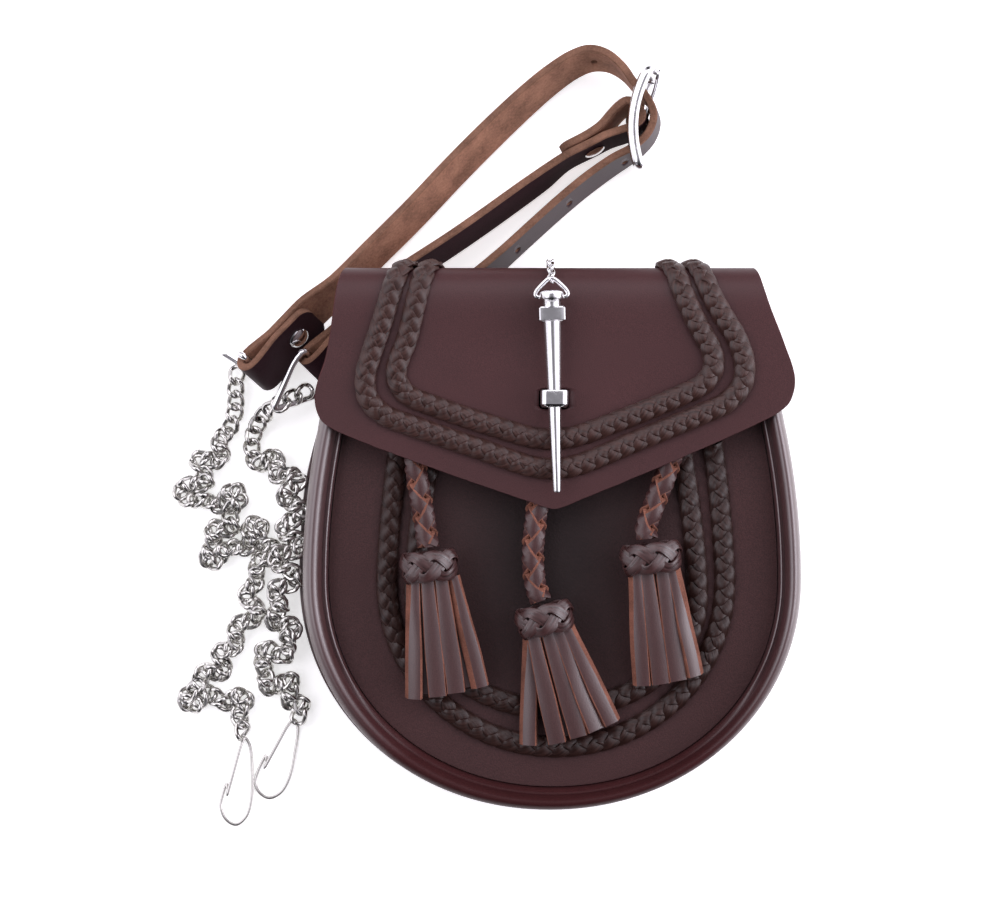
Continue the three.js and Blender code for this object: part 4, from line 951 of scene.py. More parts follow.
LONG_FOLD = ring_fold("left", "long", -1)
SHORT_FOLD = ring_fold("right", "short", 1)
BUCKLE_FOLD = fold_round(BUCKLE_AT, unit(BUCKLE_FOLD_ACROSS), Vector(FOLD_AWAY["buckle"]), -1,
                         FOLD_BACK["buckle"], BUCKLE_FOLD_BULGE)[::-1]


def strap_path(stations):
    """Even points along a strap, and the direction of its width at each."""
    points = spline([point for point, _ in stations])
    ways = spline([across for _, across in stations])
    return evenly(points, 1.0, ways)


LONG_PATH = strap_path(LONG_FOLD + [strap_station(*row) for row in LONG_STRAP])
SHORT_PATH = strap_path(SHORT_FOLD + [strap_station(*row) for row in SHORT_STRAP] + BUCKLE_FOLD)


def prong_path():
    """Middle line of the buckle's prong, from its eye round the bar to its tip on the frame."""
    first, last = PRONG_EYE_TURN
    turns = [math.radians(first + (last - first) * i / 7) for i in range(8)]
    points = [in_buckle(PRONG_EYE * math.cos(t), PRONG_EYE * math.sin(t), 0) for t in turns]
    rest = BUCKLE_BOW + RAIL_R + GAP + PRONG_R
    points += [in_buckle(6, 4.6, 0), in_buckle(12, 6.2, 0), in_buckle(BUCKLE_HALF + 1.5, rest + 0.1, 0)]
    return evenly(spline(points), 0.8)[0]


PRONG_PATH = prong_path()


def rivet_at(fold):
    """Middle of a rivet through both layers of a folded end, and its direction."""
    free, body = fold[1][0], fold[-2][0]
    return (free + body) / 2, (body - free).normalized()


RIVETS = {"long": rivet_at(LONG_FOLD), "short": rivet_at(SHORT_FOLD), "buckle": rivet_at(BUCKLE_FOLD)}


def sheet_row(left, right, out, columns):
    """Ring of points round a strip of the back and flap sheet, with its cut edges rounded."""
    across = (right - left).normalized()
    half = SHEET / 2
    inner_left, inner_right = left + across * CUT_ROUND, right - across * CUT_ROUND
    outer = [inner_left.lerp(inner_right, i / (columns - 1)) + out * half for i in range(columns)]
    inner = [inner_right.lerp(inner_left, i / (columns - 1)) - out * half for i in range(columns)]
    edge = half - CUT_ROUND
    return outer + [right + out * edge, right - out * edge] + inner + [left - out * edge, left + out * edge]


class SPORRAN_OT_back_and_flap(bpy.types.Operator):
    """Makes the back, the fold and the flap as one sheet of leather."""

    bl_idname = "sporran.back_and_flap"
    bl_label = "Back and flap"

    def execute(self, context):
        columns = 45
        rows = []
        for point, out in reversed(RIGHT_SIDE):
            edge = point + out * flange(point.y)
            z, slope = back_at(edge.y)
            half = max(edge.x, 3)
            face = Vector((0, math.sin(slope), -math.cos(slope)))
            rows.append(sheet_row(Vector((-half, edge.y, z)), Vector((half, edge.y, z)), face, columns))
        turns = 12
        for i in range(turns):
            angle = (RISE - math.pi / 2) * (1 - i / turns)
            out = Vector((0, math.cos(angle), math.sin(angle)))
            middle = Vector((0, FOLD_CY, FOLD_CZ)) + out * FOLD_R
            half = Vector((FOLD_HALF, 0, 0))
            rows.append(sheet_row(middle - half, middle + half, out, columns))
        table = [(FOLD_CY + FOLD_OUT * math.pi / 2 * (1 - i / turns), FOLD_HALF + FOLD_FLARE * i / turns)
                 for i in range(turns)]
        table += [(row.x, row.y) for row in evenly(spline(vectors(FLAP_ROWS)), 1.2)[0]]
        for v, half in table:
            frayed = smoothstep(50 - v, 0, 6)
            left, out = on_flap(-half - frayed * self.fray(v, 4.0), v, -SHEET / 2)
            right, _ = on_flap(half + frayed * self.fray(v, 9.0), v, -SHEET / 2)
            rows.append(sheet_row(left, right, out, columns))
        build = Build()
        grain, raw, flesh = 0, 1, 2
        ring = [grain] * (columns - 1) + [raw] * 3 + [flesh] * (columns - 1) + [raw] * 3
        build.loft(rows, ring, cap=raw)
        self.settle(build)
        piece = build.make("back_and_flap_leather", finishes(context, "flap", "inked_edge", "lining"),
                           "pouch_leather", ["back_and_flap"])
        middle = peg_at(STAPLE_AT)
        slot = Build()
        plan = rounded_box(SLOT["half"], SLOT["half_y"], SLOT["round"])
        slot.loft([[Vector((middle.x + a, middle.y + b, z)) for a, b in plan]
                   for z in (FLAP_UNDER - 2, FLAP_TOP + 2)], raw, cap=raw)
        cut(piece, [slot])
        return {"FINISHED"}

    def fray(self, v, side):
        """Small waves of the hand-cut lower edge."""
        return 0.35 * noise.noise((v / 2.1, side, 0)) + 0.25 * noise.noise((v / 0.7, side, 0))

    def settle(self, build):
        """Gives the flap the slow rise and fall of stiff leather lying over the rim."""
        for point in build.points:
            if point.z > FLAP_UNDER - 0.5:
                near = 1 - smoothstep(point.y, FOLD_CY - 22, FOLD_CY)
                wave = noise.noise((point.x / 46, point.y / 38, 2.5))
                point.z += near * (0.35 * wave - 0.25)


class SPORRAN_OT_gusset(bpy.types.Operator):
    """Makes the side wall with its rolled rim and the lip round the front."""

    bl_idname = "sporran.gusset"
    bl_label = "Gusset and rim"

    def execute(self, context):
        build = Build()
        rows = []
        for point, out in OUTLINE:
            z, slope = back_at(point.y)
            foot = z + SHEET / 2 / math.cos(slope) + GAP
            edge = max(flange(point.y), 0.6)
            swell = 0.5 * noise.noise((point.x / 24, point.y / 24, 1.0))
            bulge = RIM_BULGE * max(out.x, 0) ** 4 - RIM_IN
            inner = FRONT_GROW + FRONT_SHIFT * out.x
            bead = smoothstep(point.y, *BEAD_FADE)
            section = self.section(foot, edge, swell, bulge, inner, bead)
            rows.append([point + out * n + UP * height for n, height in section])
        build.loft(rows)
        build.make("rolled_gusset", finishes(context, "rim"), "dark_leather", ["gusset"])
        return {"FINISHED"}

    def section(self, foot, edge, swell, bulge, inner, bead):
        """Section of the wall: over the flange, up, over the roll, a fine bead, and down to the ledge."""
        lip = PANEL_TOP - PANEL - GAP
        turn = -PANEL_INSET + GAP + inner
        groove = RIM_GROOVE + inner
        high = RIM_ROLL_HIGH
        wide = (bulge - groove) / 2
        flat = [(edge, foot + 0.4), (edge - 0.3, foot + GUSSET)]
        wall = [(1.2, foot + GUSSET), (0.4, foot + GUSSET + 1.1), (0.1, foot + GUSSET + 3),
                (0.2 + swell, (foot + RIM_TOP) / 2 - 2)]
        turns = [math.radians(-35 + 195 * i / 44) for i in range(45)]
        roll = [(bulge - wide + wide * math.cos(t), RIM_TOP - high + high * math.sin(t)) for t in turns]
        fall = [
            roll[-1], (inner - 8.8, RIM_TOP - 5.1 + 0.6 * bead), (inner - 9.4, RIM_TOP - 5.7 + 1.8 * bead),
            (inner - 10, RIM_TOP - 6.4 + 2 * bead), (inner - 10.2, RIM_TOP - 7 + 1.4 * bead),
            (inner - 10.3, RIM_TOP - 7.6),
        ]
        ledge = [(turn, lip + 0.6), (LEDGE, lip)]
        inside = [
            (LEDGE, lip - GUSSET), (turn + GUSSET, lip - GUSSET), (inner - 8.3, RIM_TOP - 8),
            (0.8 * inner - 7, RIM_TOP - 4.6), (0.5 * inner - 5.4, RIM_TOP - GUSSET - 0.4),
            (0.25 * inner - 3.6, RIM_TOP - 3.2), (-2.4, RIM_TOP - 6), (-GUSSET, RIM_TOP - 9),
            (-GUSSET, foot + 2), (-GUSSET, foot), (edge - 0.5, foot),
        ]
        up = [(p.x, p.y) for p in spline(vectors(wall + roll[:1]), 3)]
        down = [(p.x, p.y) for p in spline(vectors(fall), 3)]
        return flat + up[:-1] + roll + down[1:] + ledge + inside


class SPORRAN_OT_front_panel(bpy.types.Operator):
    """Makes the recessed front panel, slightly crowned."""

    bl_idname = "sporran.front_panel"
    bl_label = "Front panel"

    def execute(self, context):
        columns = 41
        edge = [point + out * (FRONT_GROW - PANEL_INSET) for point, out in reversed(RIGHT_SIDE)]
        edge = [p for p in edge if p.y < PANEL_TOP_Y - 0.5]
        edge.append(Vector((edge[-1].x - 0.2, PANEL_TOP_Y, 0)))
        rows = []
        for p in edge:
            half = max(p.x, 2)
            xs = [FRONT_SHIFT + half * (2 * i / (columns - 1) - 1) for i in range(columns)]
            top = [Vector((x, p.y, PANEL_TOP + self.crown(x, p.y))) for x in xs]
            under = [Vector((x, p.y, PANEL_TOP - PANEL)) for x in reversed(xs)]
            rows.append(top + under)
        build = Build()
        build.loft(rows, [0] * columns + [1] * columns)
        build.make("front_panel_leather", finishes(context, "panel", "lining"), "pouch_leather",
                   ["front_panel"])
        return {"FINISHED"}

    def crown(self, x, y):
        """Small rise and hollows of the front between its edges."""
        return 0.18 * noise.noise((x / 34, y / 34, 6.0))


class SPORRAN_OT_plaits(bpy.types.Operator):
    """Makes the two plaited trims on the flap and the two on the front."""

    bl_idname = "sporran.plaits"
    bl_label = "Plaited trims"

    def execute(self, context):
        for name, table in FLAP_PLAITS.items():
            start = (table[0][0] - 3, FOLD_CY + FOLD_OUT * FLAP_PLAIT_WRAP)
            half = [start] + table
            whole = vectors(half + [(-u, v) for u, v in reversed(half)])
            places = [on_flap(p.x, p.y, GAP) for p in evenly(spline(whole), 0.7)[0]]
            self.braid(context, f"flap_plait_{name}", [p for p, _ in places], [out for _, out in places],
                       1.0, "plait")
        for name, form in FRONT_PLAITS.items():
            path = self.front_path(**form)
            # The front trims take the copy of the lace darkened by painted shade
            self.braid(context, f"front_plait_{name}", path, [UP] * len(path), FRONT_PLAIT_STRETCH,
                       "plait_painted_shade")
        return {"FINISHED"}

    def braid(self, context, name, path, outs, stretch, lace):
        """One trim from three laces."""
        sizes = context.scene.sporran_sizes
        build = Build()
        plait(build, path, outs, tangents(path), PLAIT_HALF, sizes.plait_period / MM * stretch,
              sizes.lace_wide / MM, sizes.lace_thick / MM)
        build.make(f"{name}_laces", finishes(context, lace), "dark_leather", [name])

    def front_path(self, half, mid_y, drop, top_half, top_y):
        """Middle line of a trim on the front: down one side, round the bottom and up the other."""
        right = []
        for t in (0, 0.35, 0.7):
            right_x = half - (half - top_half) * (1 - t) ** 1.6
            right.append(Vector((right_x, top_y + (mid_y - top_y) * t, 0)))
        for i in range(9):
            turn = math.pi / 2 * i / 8
            right.append(Vector((half * math.cos(turn), mid_y - drop * math.sin(turn), 0)))
        whole = right + [Vector((-p.x, p.y, 0)) for p in right[-2::-1]]
        seat = Vector((FRONT_PLAIT_X, 0, PANEL_TOP + GAP))
        return [p + seat for p in evenly(spline(whole), 0.7)[0]]


class SPORRAN_OT_tassels(bpy.types.Operator):
    """Makes the three tassels: plaited cord, woven knot and cut strips."""

    bl_idname = "sporran.tassels"
    bl_label = "Tassels"

    def execute(self, context):
        for name, parts in TASSELS.items():
            x, y, half, tilt = parts["knot"]
            angle = math.radians(tilt)
            axis = Vector((-math.sin(angle), math.cos(angle), 0))
            middle = Vector((x, y, KNOT_Z))
            self.cord(context, name, parts["cord"])
            self.knot(context, name, middle, axis, half)
            self.fringe(context, name, middle, axis, parts)
        return {"FINISHED"}

    def cord(self, context, name, table):
        """Hanger of four flat strips plaited round, with their cut edges showing."""
        last = len(table) - 1
        points = []
        for i, (x, y) in enumerate(table):
            dip = PANEL_TOP + 2 * GAP + CORD_THICK / 2 if i == 0 else CORD_Z
            points.append(Vector((x, y, dip + (0.8 if i == last else 0))))
        step, period, weave, wide, thick = 0.6, 25, 0.4, 6.4, 1.2
        path = evenly(spline(points), step)[0]
        ways = tangents(path)
        half, deep = CORD_HALF - 0.9, CORD_THICK / 2 - 0.8
        slant = math.atan(2 * math.pi / period * math.sqrt((half ** 2 + deep ** 2) / 2))
        build = Build()
        for k in range(4):
            hand = 1 if k < 2 else -1
            section = strip_section(wide, thick, *((0.6, 1.1) if hand > 0 else (1.1, 0.6)))
            rows = []
            for i in range(len(path)):
                turn = 2 * math.pi * i * step / period
                middle = hand * turn + math.pi * (k % 2) + (math.pi / 2 if hand < 0 else 0)
                over = hand * weave * math.cos(2 * turn - math.pi / 2)
                local = math.hypot(half * math.sin(middle), deep * math.cos(middle))
                row = []
                for a, b in section:
                    j = min(max(i - a * math.sin(slant) * hand / step, 0), len(path) - 1.001)
                    seat = path[int(j)].lerp(path[int(j) + 1], j - int(j))
                    side = ways[int(j)].cross(UP).normalized()
                    angle = middle + a * math.cos(slant) / local
                    out = (side * (math.cos(angle) / half) + UP * (math.sin(angle) / deep)).normalized()
                    place = seat + side * (half * math.cos(angle)) + UP * (deep * math.sin(angle))
                    row.append(place + out * (over + b))
                rows.append(row)
            build.loft(rows, STRIP_FINISH, cap=1)
        build.make(f"tassel_cord_{name}_strips", finishes(context, "cord", "raw", "flesh"),
                   "tassel_leather", [f"tassel_cord_{name}"])

    def knot(self, context, name, middle, axis, half):
        """Woven band of three broad laces round the neck, over a leather core."""
        across = axis.cross(UP)
        wide, deep = half - 1.7, KNOT_DEEP - 1.7
        steps = 108
        path, outs = [], []
        for i in range(steps + 1):
            t = 2 * math.pi * i / steps - math.pi / 2
            path.append(middle + across * (wide * math.cos(t)) + UP * (deep * math.sin(t)))
            outs.append((across * (math.cos(t) / wide) + UP * (math.sin(t) / deep)).normalized())
        length = sum((b - a).length for a, b in zip(path, path[1:]))
        path, outs = evenly(path, length / steps, outs)
        ways = tangents(path[:-1], True)
        build = Build()
        plait(build, path, outs, ways + ways[:1], KNOT_HIGH, length / 2, *KNOT_LACE)
        turns = [2 * math.pi * i / 32 for i in range(32)]
        build.loft([[middle + axis * (at * KNOT_HIGH) + across * (size * wide * math.cos(t))
                     + UP * (size * deep * math.sin(t)) for t in turns]
                    for at, size in ((-0.8, 0.9), (-0.5, 0.98), (0.5, 0.98), (0.8, 0.88))])
        build.make(f"tassel_knot_{name}_laces", finishes(context, "knot"), "tassel_leather",
                   [f"tassel_knot_{name}"])

    def fringe(self, context, name, middle, axis, parts):
        """Cut strips hanging from under the knot."""
        sizes = context.scene.sporran_sizes
        across = axis.cross(UP)
        neck = middle - axis * (KNOT_HIGH - 1.6)
        build = Build()
        for table, (high, low, sag) in ((parts["back"], BACK_SPLAY), (parts["front"], FRONT_SPLAY)):
            for top, foot, foot_y, roll, left, right in table:
                start = neck + across * ((top - neck.x) / across.x)
                start.z = high
                self.hanging(build, start, Vector((foot, foot_y, low)), sag, roll, (left, right), sizes)
        build.make(f"tassel_fringe_{name}_strips", finishes(context, "strip", "raw", "flesh"),
                   "tassel_leather", [f"tassel_fringe_{name}"])

    def hanging(self, build, start, end, sag, roll, slopes, sizes):
        """One strip from the head to its cut foot, turned a little as it hangs."""
        steps = 26
        along = (end - start).normalized()
        across = along.cross(UP).normalized()
        out = across.cross(along)
        wide, thick = sizes.strip_wide / MM, sizes.strip_thick / MM
        line, normals, widths = [], [], []
        for i in range(steps + 1):
            t = i / steps
            wave = 0.35 * noise.noise((end.x / 7, end.y / 7, 3 * t))
            line.append(start.lerp(end, t) + out * (4 * sag * t * (1 - t)) + across * (wave * t))
            turn = math.radians(roll) * smoothstep(t, 0.05, 0.6)
            normals.append(out * math.cos(turn) - across * math.sin(turn))
            widths.append(wide * (0.76 + 0.24 * smoothstep(t, 0, 0.7)))
        rows = []
        left, right = slopes
        for point, normal, width, onward in zip(line, normals, widths, tangents(line)):
            side = onward.cross(normal).normalized()
            face = side.cross(onward)
            rows.append([point + side * a + face * b for a, b in strip_section(width, thick, right, left)])
        build.loft(rows, STRIP_FINISH, cap=1)


class SPORRAN_OT_peg_closure(bpy.types.Operator):
    """Makes the peg with its bail and small chain, the stud behind the fold and the staple."""

    bl_idname = "sporran.peg_closure"
    bl_label = "Peg closure"

    def execute(self, context):
        steel = finishes(context, "steel")
        self.peg().make("turned_peg", steel, "steel", ["peg"], 28)
        self.bail().make("peg_bail_wire", steel, "steel", ["peg_bail"])
        self.small_chain().make("peg_chain_links", steel, "steel", ["peg_chain"])
        angle = math.radians(PEG_STUD_TURN)
        out = Vector((0, math.cos(angle), math.sin(angle)))
        stud = Build()
        foot = Vector((PEG_TOP.x, FOLD_CY, FOLD_CZ)) + out * (FOLD_OUT + GAP)
        turned(stud, foot, out, PEG_STUD, 24)
        stud.make("peg_stud_head", steel, "steel", ["peg_stud"])
        block, bore = self.staple()
        cut(block.make("staple_block", steel, "steel", ["staple"], 24), [bore])
        return {"FINISHED"}

    def peg(self):
        """Turned head, neck and taper, with a square collar."""
        build = Build()
        turned(build, PEG_TOP, PEG_AXIS, PEG_PROFILE)
        top = PEG_SIDE.cross(PEG_AXIS)
        bevel = COLLAR["bevel"]
        rows = []
        for at, inset in ((COLLAR["from"], bevel), (COLLAR["from"] + bevel, 0), (COLLAR["to"] - bevel, 0),
                          (COLLAR["to"], bevel)):
            plan = rounded_box(COLLAR["half"] - inset, COLLAR["deep"] - inset, 0.7, 3)
            rows.append([peg_at(at) + PEG_SIDE * a + top * b for a, b in plan])
        build.loft(rows)
        return build

    def bail(self):
        """Arched wire through the peg's head."""
        foot = peg_at(BAIL_AT)
        half = [(-3, 0), (-5.4, 0), (-6.1, 0.8), (-5.6, 2.1), (-2.3, 5.6), (-1, 6.6)]
        pairs = half + [(0, BAIL_HIGH)] + [(-a, b) for a, b in reversed(half)]
        points = [foot + PEG_SIDE * a - PEG_AXIS * b for a, b in pairs]
        build = Build()
        tube(build, evenly(spline(points, 8, True), 0.6)[0][:-1], BAIL_R, 12, True)
        return build

    def small_chain(self):
        """Small links from the bail over the fold to the stud."""
        apex = peg_at(BAIL_AT) - PEG_AXIS * (BAIL_HIGH - BAIL_R)
        reach = FOLD_OUT + GAP + PEG_CHAIN_R
        first, last = PEG_CHAIN_TURN
        points = [apex]
        for i in range(7):
            angle = math.radians(first + (last - first) * i / 6)
            points.append(Vector((apex.x, FOLD_CY + math.cos(angle) * reach,
                                  FOLD_CZ + math.sin(angle) * reach)))
        build = Build()
        links(build, spline(points), *SMALL_LINK, 0, 0.0, SMALL_LINK_TURN)
        return build

    def staple(self):
        """Rounded block with a bevelled face on a flat stem, and the bore for the peg."""
        x, y, z = peg_at(STAPLE_AT)
        base = FLAP_TOP + GAP
        block = Build()
        rows = []
        for at, inset in ((-1, 1.1), (-0.72, 0.12), (-0.64, 0), (0.82, 0), (0.94, 0.15), (1, 0.45)):
            half, top, corner = STAPLE["half"] - inset * 0.6, STAPLE["top"] - inset, STAPLE["round"]
            turns = [math.pi / 2 * k / 7 for k in range(8)]
            right = [(half - corner + corner * math.cos(t), top - corner + corner * math.sin(t))
                     for t in turns]
            profile = [(-half, base), (half, base)] + right + [(-a, b) for a, b in reversed(right)]
            rows.append([Vector((x + a, y + at * STAPLE["half_y"], b)) for a, b in profile])
        block.loft(rows)
        stem = rounded_box(STAPLE["stem"], STAPLE["stem_y"], 0.6, 3)
        block.loft([[Vector((x + a, y + b, height)) for a, b in stem]
                    for height in (PANEL_TOP + GAP, base + 0.6)])
        bore = Build()
        turned(bore, Vector((x - 0.2, y + 6, z)), Vector((0.4, -12, 0)).normalized(),
               [(0, STAPLE_BORE), (12, STAPLE_BORE)], 32)
        return block, bore


def links(build, dense, long, wide, wire, tumble, twist=CURB_TWIST, turn=0.0):
    """Links along a path, each twisted or turned to and fro into the next, and none below the floor."""
    points = evenly(dense, long - 2 * wire - 0.05)[0]
    radius = wire / 2
    bow = wide / 2 - radius
    straight = (long - wide) / 2
    turns = [2 * math.pi * (k + 0.5) / 24 for k in range(24)]
    for i, (a, b) in enumerate(zip(points, points[1:])):
        along = (b - a).normalized()
        side = along.cross(UP)
        side = side.normalized() if side.length > 1e-3 else Vector((1, 0, 0))
        top = side.cross(along)
        lean = math.radians(tumble * noise.noise((i * 0.7, 3.1, points[0].x))) + (turn if i % 2 else -turn)
        middle = (a + b) / 2
        loop = []
        for t in turns:
            reach = bow * math.cos(t) + math.copysign(straight, math.cos(t))
            roll = lean + twist * reach / (long / 2 - radius)
            flat = side * math.cos(roll) + top * math.sin(roll)
            loop.append(middle + along * reach + flat * (bow * math.sin(t)))
        low = min(p.z for p in loop) - radius
        loop = [p + UP * max(0.1 - low, 0) for p in loop]
        tube(build, loop, radius, 9, True, top)


def heaped(route):
    """Path of a chain that runs straight at its ends and lies in short folds between them."""
    step = 0.8
    path = evenly(spline(vectors(route)), step)[0]
    whole = step * (len(path) - 1)
    points = []
    for i, (point, along) in enumerate(zip(path, tangents(path))):
        at = i * step
        share = smoothstep(at, *CHAIN_STRAIGHT) * (1 - smoothstep(at, whole - 14, whole - 2))
        side = along.cross(UP).normalized()
        turn = 2 * math.pi * at / CHAIN_WAVE + 2 * noise.noise((at / 26, 7.0, route[0][0]))
        swing = CHAIN_SWING * (0.75 + 0.6 * noise.noise((at / 17, 2.0, route[0][0])))
        rise = CHAIN_HEAP * (1 + math.sin(2 * turn + 0.8)) / 2
        points.append(point + side * (share * swing * math.sin(turn)) + UP * (share * rise))
    return points


class SPORRAN_OT_straps(bpy.types.Operator):
    """Makes the two strap halves, folded round their rings and the buckle's bar."""

    bl_idname = "sporran.straps"
    bl_label = "Straps"

    def execute(self, context):
        grain_first = finishes(context, "dull_strap", "strap_edge", "flesh")
        flesh_first = finishes(context, "flesh", "strap_edge", "strap")
        long_strap = self.body(*LONG_PATH, False).make("strap_long_leather", flesh_first, "strap_leather",
                                                       ["strap_long"])
        short_strap = self.body(*SHORT_PATH, True).make("strap_short_leather", grain_first, "strap_leather",
                                                        ["strap_short"])
        points, ways = LONG_PATH
        target = in_buckle(*PRONG_HOLE)
        start = min(range(len(points)), key=lambda i: (points[i] - target).length)
        faces = [along.cross(way) for along, way in zip(tangents(points), ways)]
        spots = [start + round(k * HOLE_PITCH) for k in (-1, 1, 2, 3)]
        holes = [self.punch(points[i], faces[i], HOLE_R, 3) for i in spots]
        slot = Build()
        tube(slot, PRONG_PATH, PRONG_R + GAP, 10, finish=1)
        cut(long_strap, holes + [slot, self.punch(*RIVETS["long"], RIVET_SHANK + GAP, 9)])
        eye = Build()
        beyond = PRONG_PATH[0].lerp(PRONG_PATH[1], -1.5)
        tube(eye, [beyond] + PRONG_PATH, PRONG_R + 2 * GAP, 10, finish=1)
        cut(short_strap,
            [eye] + [self.punch(*RIVETS[k], RIVET_SHANK + GAP, 9) for k in ("short", "buckle")])
        return {"FINISHED"}

    def body(self, points, ways, end_round):
        """Strap with rounded free ends, a grain face, a flesh face and cut edges."""
        ways_on = tangents(points)
        count = len(points)
        rows = []
        for i, (point, across, along) in enumerate(zip(points, ways, ways_on)):
            face = along.cross(across).normalized()
            reach = min(i, count - 1 - i if end_round else count)
            short = max(END_ROUND - reach - 0.15, 0)
            w = STRAP_WIDE / 2 - END_ROUND + math.sqrt(max(END_ROUND ** 2 - short ** 2, 0))
            t, r = STRAP_THICK / 2, 0.45
            section = [(-w, r - t), (-w, t - r), (r - w, t), (-w / 2, t), (0, t), (w / 2, t), (w - r, t),
                       (w, t - r),
                       (w, r - t), (w - r, -t), (w / 2, -t), (0, -t), (-w / 2, -t), (r - w, -t)]
            rows.append([point + across * p + face * q for p, q in section])
        build = Build()
        build.loft(rows, [1, 1] + [0] * 4 + [1] * 3 + [2] * 4 + [1], cap=1)
        return build

    def punch(self, point, way, radius, reach):
        """Round punch through a strap."""
        punch = Build()
        tube(punch, [point - way * reach, point + way * reach], radius, 20, finish=1)
        return punch


class SPORRAN_OT_rivets(bpy.types.Operator):
    """Makes the domed rivets of the strap's folded ends."""

    bl_idname = "sporran.rivets"
    bl_label = "Rivets"

    def execute(self, context):
        stack = (LAYER + STRAP_THICK) / 2 + RIVET_CLEAR
        dome = [(stack - 0.45, RIVET_SHANK), (stack - 0.4, RIVET_HEAD * 0.98), (stack - 0.1, RIVET_HEAD),
                (stack + 0.2, RIVET_HEAD * 0.93), (stack + 0.6 * RIVET_DOME, RIVET_HEAD * 0.68),
                (stack + 0.9 * RIVET_DOME, RIVET_HEAD * 0.36), (stack + RIVET_DOME, 0.1)]
        profile = [(-at, r) for at, r in reversed(dome)] + dome
        for name, (point, way) in RIVETS.items():
            build = Build()
            turned(build, point, way, profile, 36)
            build.make(f"rivet_{name}_domes", finishes(context, "steel"), "steel", [f"rivet_{name}"])
        return {"FINISHED"}


class SPORRAN_OT_buckle(bpy.types.Operator):
    """Makes the centre-bar buckle and its prong."""

    bl_idname = "sporran.buckle"
    bl_label = "Buckle"

    def execute(self, context):
        build = Build()
        plan = rounded_box(BUCKLE_HALF, RAIL_AT, BUCKLE_CORNER, 6)
        corners = [Vector((u, BUCKLE_BOW * (u / BUCKLE_HALF) ** 2, w)) for u, w in plan]
        loop = []
        for a, b in zip(corners, corners[1:] + corners[:1]):
            steps = max(1, round((b - a).length / 1.2))
            for k in range(steps):
                u, _, w = a.lerp(b, k / steps)
                loop.append(in_buckle(u, BUCKLE_BOW * (u / BUCKLE_HALF) ** 2, w))
        tube(build, loop, RAIL_R, 16, True, BUCKLE_N, oval=BUCKLE_OVAL)
        tube(build, [in_buckle(0, 0, w) for w in (-RAIL_AT, -4, 4, RAIL_AT)], BAR_R, 16, up=BUCKLE_N)
        build.make("buckle_frame_cast", finishes(context, "steel"), "steel", ["buckle_frame"])
        prong = Build()
        tube(prong, PRONG_PATH, blunt(PRONG_PATH, PRONG_R), 12)
        prong.make("buckle_prong_wire", finishes(context, "steel"), "steel", ["buckle_prong"])
        return {"FINISHED"}


class SPORRAN_OT_rings(bpy.types.Operator):
    """Makes the triangular wire rings in the strap's folded ends."""

    bl_idname = "sporran.rings"
    bl_label = "Rings"

    def execute(self, context):
        for name, (bar, along, corner) in RINGS.items():
            way, apex, middle = unit(along), Vector(corner), Vector(bar)
            away = apex - middle
            away = (away - way * away.dot(way)).normalized()
            spots = [(RING["bar_half"], 0), (-RING["bar_half"], 0),
                     (-RING["shoulder"], RING["shoulder_out"]), None,
                     (RING["shoulder"], RING["shoulder_out"])]
            corners = [middle + way * s[0] + away * s[1] if s else apex for s in spots]
            path = []
            for i, here in enumerate(corners):
                before = here + (corners[i - 1] - here).normalized() * RING["bend"]
                after = here + (corners[(i + 1) % 5] - here).normalized() * RING["bend"]
                for k in range(9):
                    t = k / 8
                    path.append(before * (1 - t) ** 2 + here * (2 * t * (1 - t)) + after * t ** 2)
            build = Build()
            tube(build, path, RING_R, 14, True)
            build.make(f"ring_{name}_wire", finishes(context, "steel"), "steel", [f"ring_{name}"])
        return {"FINISHED"}


class SPORRAN_OT_chains(bpy.types.Operator):
    """Makes the two steel chains, link by link, along their routes."""

    bl_idname = "sporran.chains"
    bl_label = "Chains"

    def execute(self, context):
        sizes = context.scene.sporran_sizes
        for name, route in CHAIN_ROUTES.items():
            build = Build()
            form = (sizes.link_long / MM, sizes.link_wide / MM, sizes.link_wire / MM, CHAIN_TUMBLE)
            links(build, heaped(route), *form)
            if name == "right":
                links(build, spline(vectors(RING_LINKS)), *form)
            build.make(f"chain_{name}_links", finishes(context, "wire"), "steel", [f"chain_{name}"])
        return {"FINISHED"}


class SPORRAN_OT_clips(bpy.types.Operator):
    """Makes the bent wire spring clips at the chains' ends."""

    bl_idname = "sporran.clips"
    bl_label = "Clips"

    def execute(self, context):
        for name, route in CLIP_ROUTES.items():
            path = evenly(spline(vectors(route)), 0.7)[0]
            build = Build()
            tube(build, path, blunt(path, CLIP_R), 10)
            build.make(f"clip_{name}_wire", finishes(context, "wire"), "steel", [f"clip_{name}"])
        return {"FINISHED"}


